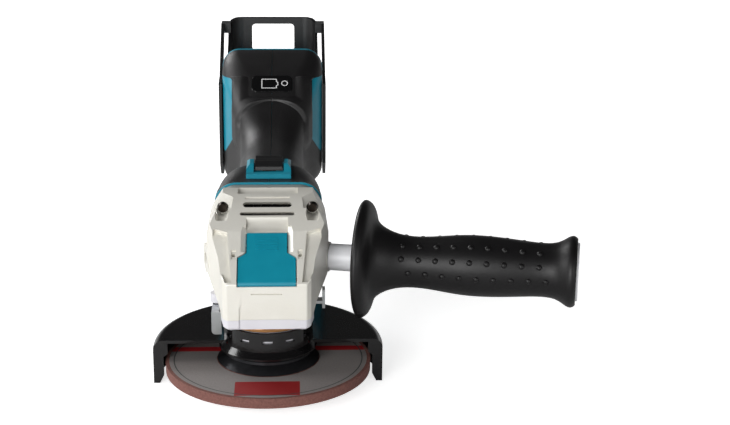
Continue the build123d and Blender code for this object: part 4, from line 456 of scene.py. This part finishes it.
bumps = bmesh.new()
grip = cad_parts["handle_grip"]
for angle, shifted in BUMP_ROWS:
    outward = math.cos(math.radians(angle)) * handle_front
    outward = outward + Vector((0, 0, math.sin(math.radians(angle))))
    for count in range(BUMP_COUNT):
        along = FIRST_BUMP + STAGGER * shifted + BUMP_STEP * count
        spot = HANDLE_START + handle_out * along
        _, seat, normal, _ = grip.ray_cast(spot + outward * OUTSIDE_GRIP, -outward)
        add_dome(bumps, seat, normal)
make_piece("handle_grip_bumps", bumps, handle_rubber, "body")

# Wheel label: a disc of printed paper laid on the wheel while the resin is soft, so that
# the abrasive shows only as a rim. Its print is plain: a red band, a red field and a ring.
LABEL_INNER_R = 31.4 * MM
LABEL_OUTER_R = 60.4 * MM
LABEL_LIFT = 0.05 * MM
LABEL_SIDES = 96
WHEEL_TOP = 6.0 * MM
BAND_Y = 13.0 * MM
BAND_HALF = 3.4 * MM
FIELD_Y = -47.6 * MM
FIELD_HALF_X = 19.0 * MM
FIELD_HALF_Y = 9.8 * MM
LABEL_RING_R = 57.4 * MM
LABEL_RING_HALF = 0.35 * MM
SPECK = 1.2 * MM
SPECK_RISE = 0.08 * MM
label = bmesh.new()
lift = Vector((0, 0, WHEEL_TOP + LABEL_LIFT))
inner, outer = (
    [label.verts.new(spoke + lift) for spoke in circle(radius, LABEL_SIDES)]
    for radius in (LABEL_INNER_R, LABEL_OUTER_R)
)
for k in range(LABEL_SIDES):
    n = (k + 1) % LABEL_SIDES
    label.faces.new((inner[k], outer[k], outer[n], inner[n]))
# Paper under clear resin: matt grey ink that shows some of the grit beneath it.
printed_paper, tree, shader = start_material(
    "printed_label_paper", "#8A8C8B", roughness=0.52
)
place = add_node(tree, "ShaderNodeTexCoord")
specks = add_node(
    tree,
    "ShaderNodeTexNoise",
    {"Vector": place.outputs["Object"], "Scale": 1 / SPECK, "Detail": 3.0},
)
grey_ink = add_node(
    tree,
    "ShaderNodeMix",
    {"Factor": specks.outputs["Fac"], "A": linear("#77716F"), "B": linear("#918C8A")},
    data_type="RGBA",
)
axes = add_node(tree, "ShaderNodeSeparateXYZ", {"Vector": place.outputs["Object"]})
flat = add_node(
    tree,
    "ShaderNodeVectorMath",
    {0: place.outputs["Object"], 1: (1, 1, 0)},
    operation="MULTIPLY",
)
from_axis = add_node(tree, "ShaderNodeVectorMath", {0: flat.outputs[0]}, operation="LENGTH")
band, field_wide, field_deep, ring = (
    add_node(tree, "ShaderNodeMath", {0: value, 1: middle, 2: half}, operation="COMPARE")
    for value, middle, half in (
        (axes.outputs["Y"], BAND_Y, BAND_HALF),
        (axes.outputs["X"], 0.0, FIELD_HALF_X),
        (axes.outputs["Y"], FIELD_Y, FIELD_HALF_Y),
        (from_axis.outputs["Value"], LABEL_RING_R, LABEL_RING_HALF),
    )
)
field = add_node(
    tree,
    "ShaderNodeMath",
    {0: field_wide.outputs[0], 1: field_deep.outputs[0]},
    operation="MULTIPLY",
)
ink = grey_ink
for mark, hex_colour in ((band, "#A3181F"), (field, "#8C1A1C"), (ring, "#3C3E40")):
    ink = add_node(
        tree,
        "ShaderNodeMix",
        {
            "Factor": mark.outputs[0],
            "A": ink.outputs["Result"],
            "B": linear(hex_colour),
        },
        data_type="RGBA",
    )
tree.links.new(ink.outputs["Result"], shader.inputs["Base Color"])
raised = add_node(
    tree,
    "ShaderNodeBump",
    {"Height": specks.outputs["Fac"], "Strength": 1.0, "Distance": SPECK_RISE},
)
tree.links.new(raised.outputs[0], shader.inputs["Normal"])
make_piece("wheel_label", label, printed_paper, "wheel_drive", smooth=False)

# Rubber brow: the thick roll of the grip covers round the foot of the grip, moulded
# in one with them. It stands clear of the indicator panel and the side trims. Its mesh
# is a thin skin that is laid over the covers and raised from them.
BROW_RISE = 2.6 * MM
BROW_ROOT = -0.35 * MM
BROW_STEP = 0.7 * MM
BROW_HALF = 32.0 * MM
BROW_LOW = 58.0 * MM
BROW_HIGH = 146.0 * MM
BROW_FRONT = 200.0 * MM
BROW_LOOK = Vector((0, 0.957, -0.29))
FIRST_COLUMN = 0.6
SEAM_HALF = 0.2 * MM
SEAM_DEPTH = 0.45 * MM
BROW_SHEET = 0.2 * MM
BROW_ORDER = Vector((1.0, 0.3, 0.1))
# Its outline, in millimetres: where each edge lies and how wide its slope is.
ARCH_HALF = 23.2
ARCH_SPRING = 97.0
ARCH_RISE = 17.0
ARCH_EASE = 2.4
TRIM_INSIDE = 30.0
TRIM_TOP = 126.0
TRIM_FLARE = 1.6
TRIM_EASE = 1.8
PANEL_HALF = 16.1
PANEL_MID = 124.8
PANEL_REACH = 6.0
PANEL_EASE = 7.0
CROWN = 138.0
CROWN_EASE = 14.0
FOOT = 74.0
FOOT_EASE = 12.0


def ease(distance, width):
    """Rises smoothly from 0 to 1 over a width."""
    share = min(max(distance / width, 0.0), 1.0)
    return share * share * (3 - 2 * share)


def brow_share(spot):
    """How much of its full height the brow has at a spot on the cover."""
    x, z = abs(spot.x) / MM, spot.z / MM
    climb = max(z - ARCH_SPRING, 0.0) / ARCH_RISE
    arch = (math.hypot(x / ARCH_HALF, climb) - 1) * ARCH_HALF
    trim = TRIM_INSIDE - x + TRIM_FLARE * max(z - TRIM_TOP, 0.0)
    panel = max(x - PANEL_HALF, abs(z - PANEL_MID) - PANEL_REACH)
    share = ease(arch, ARCH_EASE) * ease(trim, TRIM_EASE) * ease(panel, PANEL_EASE)
    return share * ease(CROWN - z, CROWN_EASE) * ease(z - FOOT, FOOT_EASE)


columns = int(BROW_HALF / BROW_STEP)
rows = int((BROW_HIGH - BROW_LOW) / BROW_STEP) + 1
right_side = [BROW_STEP * (column + FIRST_COLUMN) for column in range(columns)]
right_side = [SEAM_HALF] + right_side
left_side = [-x for x in reversed(right_side)]
brow = bmesh.new()
skin = {}
for column, x in enumerate(left_side + right_side):
    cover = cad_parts["grip_cover_left" if x < 0 else "grip_cover_right"]
    for row in range(rows):
        start = Vector((x, BROW_FRONT, BROW_LOW + BROW_STEP * row))
        hit, seat, normal, _ = cover.ray_cast(start, BROW_LOOK)
        if hit and normal.y < 0.0:
            share = brow_share(seat)
            height = BROW_ROOT + (BROW_RISE - BROW_ROOT) * share
            if abs(x) == SEAM_HALF:
                height = height - SEAM_DEPTH * share
            skin[column, row] = (brow.verts.new(seat + normal * height), share)
for column, row in list(skin):
    corners = [(column + c, row + r) for c, r in ((0, 0), (1, 0), (1, 1), (0, 1))]
    if all(c in skin for c in corners) and any(skin[c][1] > 0.0 for c in corners):
        brow.faces.new([skin[c][0] for c in corners])
loose = [v for v in brow.verts if not v.link_faces]
bmesh.ops.delete(brow, geom=loose, context="VERTS")
bmesh.ops.solidify(brow, geom=brow.faces[:], thickness=BROW_SHEET)
# Solidify leaves its faces in another order each run, so they are put in one order.
brow.verts.sort(key=lambda v: v.co.dot(BROW_ORDER))
brow.faces.sort(key=lambda f: f.calc_center_median().dot(BROW_ORDER))
make_piece("rubber_brow", brow, soft_rubber, "body")

# Indicator panel and check button: gloss black polycarbonate set into the grip's rubber,
# with a battery outline and a ring screen-printed on them in white ink.
PANEL_SPOT = Vector((0, 248.0, 124.8)) * MM
PANEL_SLOPE = math.radians(42.3)
PANEL_FACE = 0.93 * MM
BUTTON_FACE = 1.33 * MM
BUTTON_X = 9.6 * MM
BUTTON_RING_R = 2.15 * MM
BUTTON_RING_SIDES = 32
CELL_HALF = [(-7.6, -4.1), (3.4, -4.1), (3.4, -2.0), (4.5, -1.2)]
LINE = 0.62 * MM
panel_up = Vector((0, math.cos(PANEL_SLOPE), math.sin(PANEL_SLOPE)))
panel_out = Vector((0, -math.sin(PANEL_SLOPE), math.cos(PANEL_SLOPE)))
# Smooth plastic film: darker than the rubber round it, with a clear reflection.
black_film, tree, shader = start_material(
    "gloss_black_polycarbonate", "#0A0A0B", roughness=0.2
)
place = mottle(tree, shader, "#09090A", "#0D0D0E", patch_mm=6, roughness=(0.16, 0.24))
emboss(tree, shader, place, grain_mm=0.9, depth_mm=0.004)
dress(black_film, "indicator_panel", "check_button")
# Screen-printed ink: opaque and matt, a little thinner in places.
white_ink, tree, shader = start_material("white_printing_ink", "#E8E8E8", roughness=0.5)
place = mottle(tree, shader, "#DFDFDF", "#F0F0F0", patch_mm=2, roughness=(0.45, 0.55))
emboss(tree, shader, place, grain_mm=0.4, depth_mm=0.01)


def stripe(shape, outline, line, face):
    """Adds a closed printed line of one width that follows an outline on the panel."""
    count = len(outline)
    sides = ([], [])
    for k in range(count):
        before = (outline[k] - outline[k - 1]).normalized()
        after = (outline[(k + 1) % count] - outline[k]).normalized()
        lean = Vector((before.y + after.y, -before.x - after.x))
        lean = lean * (line / lean.length_squared)
        for side, sign in zip(sides, (1, -1)):
            flat_spot = outline[k] + lean * sign
            across = Vector((flat_spot.x, 0, 0))
            spot = PANEL_SPOT + across + panel_up * flat_spot.y + panel_out * face
            side.append(shape.verts.new(spot))
    for k in range(count):
        n = (k + 1) % count
        shape.faces.new((sides[1][k], sides[0][k], sides[0][n], sides[1][n]))


cell = CELL_HALF + [(x, -y) for x, y in reversed(CELL_HALF)]
battery_sign = bmesh.new()
stripe(battery_sign, [Vector(c) * MM for c in cell], LINE, PANEL_FACE)
make_piece("battery_sign", battery_sign, white_ink, "body", smooth=False)
button_spot = Vector((BUTTON_X, 0))
button_line = [button_spot + s.xy for s in circle(BUTTON_RING_R, BUTTON_RING_SIDES)]
button_ring = bmesh.new()
stripe(button_ring, button_line, LINE, BUTTON_FACE)
make_piece("button_ring", button_ring, white_ink, "check_button", smooth=False)

# Studio floor: a wide pale sheet just under the tool, which takes its shadow and fades
# into the white surround.
FLOOR_HALF = 6.0
FLOOR_DROP = 0.2 * MM
FADE_START = 0.25
FADE_END = 1.1
GLOW_NEAR = 0.72
GLOW_FAR = 1.0
floor_z = cad_box[0][2] - FLOOR_DROP
floor_corners = ((-1, -1), (1, -1), (1, 1), (-1, 1))
floor_mesh = bpy.data.meshes.new("studio_floor")
floor_mesh.from_pydata(
    [(x * FLOOR_HALF, y * FLOOR_HALF, floor_z) for x, y in floor_corners],
    [],
    [(0, 1, 2, 3)],
)
# Matt paint with no shine, which glows for the camera alone, so that it goes to white.
floor_paint, tree, shader = start_material("white_floor_paint", "#F4F4F4", roughness=0.9)
shader.inputs["Specular IOR Level"].default_value = 0.0
shader.inputs["Emission Color"].default_value = (1, 1, 1, 1)
place = add_node(tree, "ShaderNodeTexCoord")
away = add_node(
    tree, "ShaderNodeVectorMath", {0: place.outputs["Object"]}, operation="LENGTH"
)
fade = add_node(
    tree,
    "ShaderNodeMapRange",
    {
        "Value": away.outputs["Value"],
        "From Min": FADE_START,
        "From Max": FADE_END,
        "To Min": GLOW_NEAR,
        "To Max": GLOW_FAR,
    },
)
path = add_node(tree, "ShaderNodeLightPath")
glow = add_node(
    tree,
    "ShaderNodeMath",
    {0: path.outputs["Is Camera Ray"], 1: fade.outputs[0]},
    operation="MULTIPLY",
)
tree.links.new(glow.outputs[0], shader.inputs["Emission Strength"])
floor_mesh.materials.append(floor_paint)
studio_floor = add_object("studio_floor", floor_mesh)

# Surround: white wherever the camera looks. What shines in the surfaces is the same
# white near the horizon and a dark ceiling above it, as in a photographer's tent.
TENT_TOP = 0.22
TENT_WALL = 0.8
TENT_CEILING = 0.05
SOFT_LIGHT = 0.11
WHITE = 1.0
world = bpy.data.worlds.new("studio_surround")
bpy.context.scene.world = world
world.use_nodes = True
tree = world.node_tree
place = add_node(tree, "ShaderNodeTexCoord")
axes = add_node(tree, "ShaderNodeSeparateXYZ", {"Vector": place.outputs["Generated"]})
tent = add_node(
    tree,
    "ShaderNodeMapRange",
    {
        "Value": axes.outputs["Z"],
        "From Min": 0.0,
        "From Max": TENT_TOP,
        "To Min": TENT_WALL,
        "To Max": TENT_CEILING,
    },
)
path = add_node(tree, "ShaderNodeLightPath")
shine = add_node(
    tree,
    "ShaderNodeMath",
    {0: path.outputs["Is Glossy Ray"], 1: path.outputs["Is Transmission Ray"]},
    operation="MAXIMUM",
)
lit = add_node(
    tree,
    "ShaderNodeMix",
    {"Factor": shine.outputs[0], "A": SOFT_LIGHT, "B": tent.outputs[0]},
    data_type="FLOAT",
)
strength = add_node(
    tree,
    "ShaderNodeMix",
    {"Factor": path.outputs["Is Camera Ray"], "A": lit.outputs[0], "B": WHITE},
    data_type="FLOAT",
)
background = tree.nodes["Background"]
background.inputs["Color"].default_value = (1, 1, 1, 1)
tree.links.new(strength.outputs[0], background.inputs["Strength"])

# Softboxes: the main one low in front, a strip at the left that rims the dark grips, a
# weak one on the right, and one behind that draws the upper edges. Each has its place
# and side in metres and its power in watts.
AIM = Vector((0.03, 0.10, 0.07))
SOFTBOXES = (
    ("key_softbox", (-0.62, -1.32, 0.46), 0.8, 17.0),
    ("left_softbox", (-1.25, 0.10, 0.55), 0.6, 9.0),
    ("fill_softbox", (0.95, -1.20, 0.45), 0.7, 4.5),
    ("rear_softbox", (-0.85, 1.10, 0.85), 0.6, 10.0),
)
for name, spot, side, power in SOFTBOXES:
    lamp = bpy.data.lights.new(name, "AREA")
    lamp.size = side
    lamp.energy = power
    holder = add_object(name, lamp)
    holder.location = spot
    holder.rotation_euler = (AIM - Vector(spot)).to_track_quat("-Z", "Y").to_euler()

# Camera: as the photograph was taken, from in front and a little above, with the focal
# length and the angles that fit the wheel, the guard, the head and the handle.
CAMERA_SPOT = Vector((0.0156, -0.79873, 0.3414))
PITCH = math.radians(-16.91)
YAW = math.radians(3.07)
ROLL = math.radians(0.59)
FOCAL_PX = 1400.0
IMAGE_WIDTH_PX = 730.0
SENSOR_WIDTH = 36.0
NEAREST = 0.01
lens = bpy.data.cameras.new("front_camera")
lens.sensor_width = SENSOR_WIDTH
lens.lens = FOCAL_PX / IMAGE_WIDTH_PX * SENSOR_WIDTH
lens.clip_start = NEAREST
camera = add_object("front_camera", lens)
ahead = Vector(
    (math.sin(YAW) * math.cos(PITCH), math.cos(YAW) * math.cos(PITCH), math.sin(PITCH))
)
level = Vector((math.cos(YAW), -math.sin(YAW), 0))
upright = level.cross(ahead)
right = math.cos(ROLL) * level + math.sin(ROLL) * upright
up = math.cos(ROLL) * upright - math.sin(ROLL) * level
facing = Matrix((right, up, -ahead)).transposed().to_4x4()
camera.matrix_world = Matrix.Translation(CAMERA_SPOT) @ facing
bpy.context.scene.camera = camera
bpy.context.scene.view_settings.view_transform = "Standard"
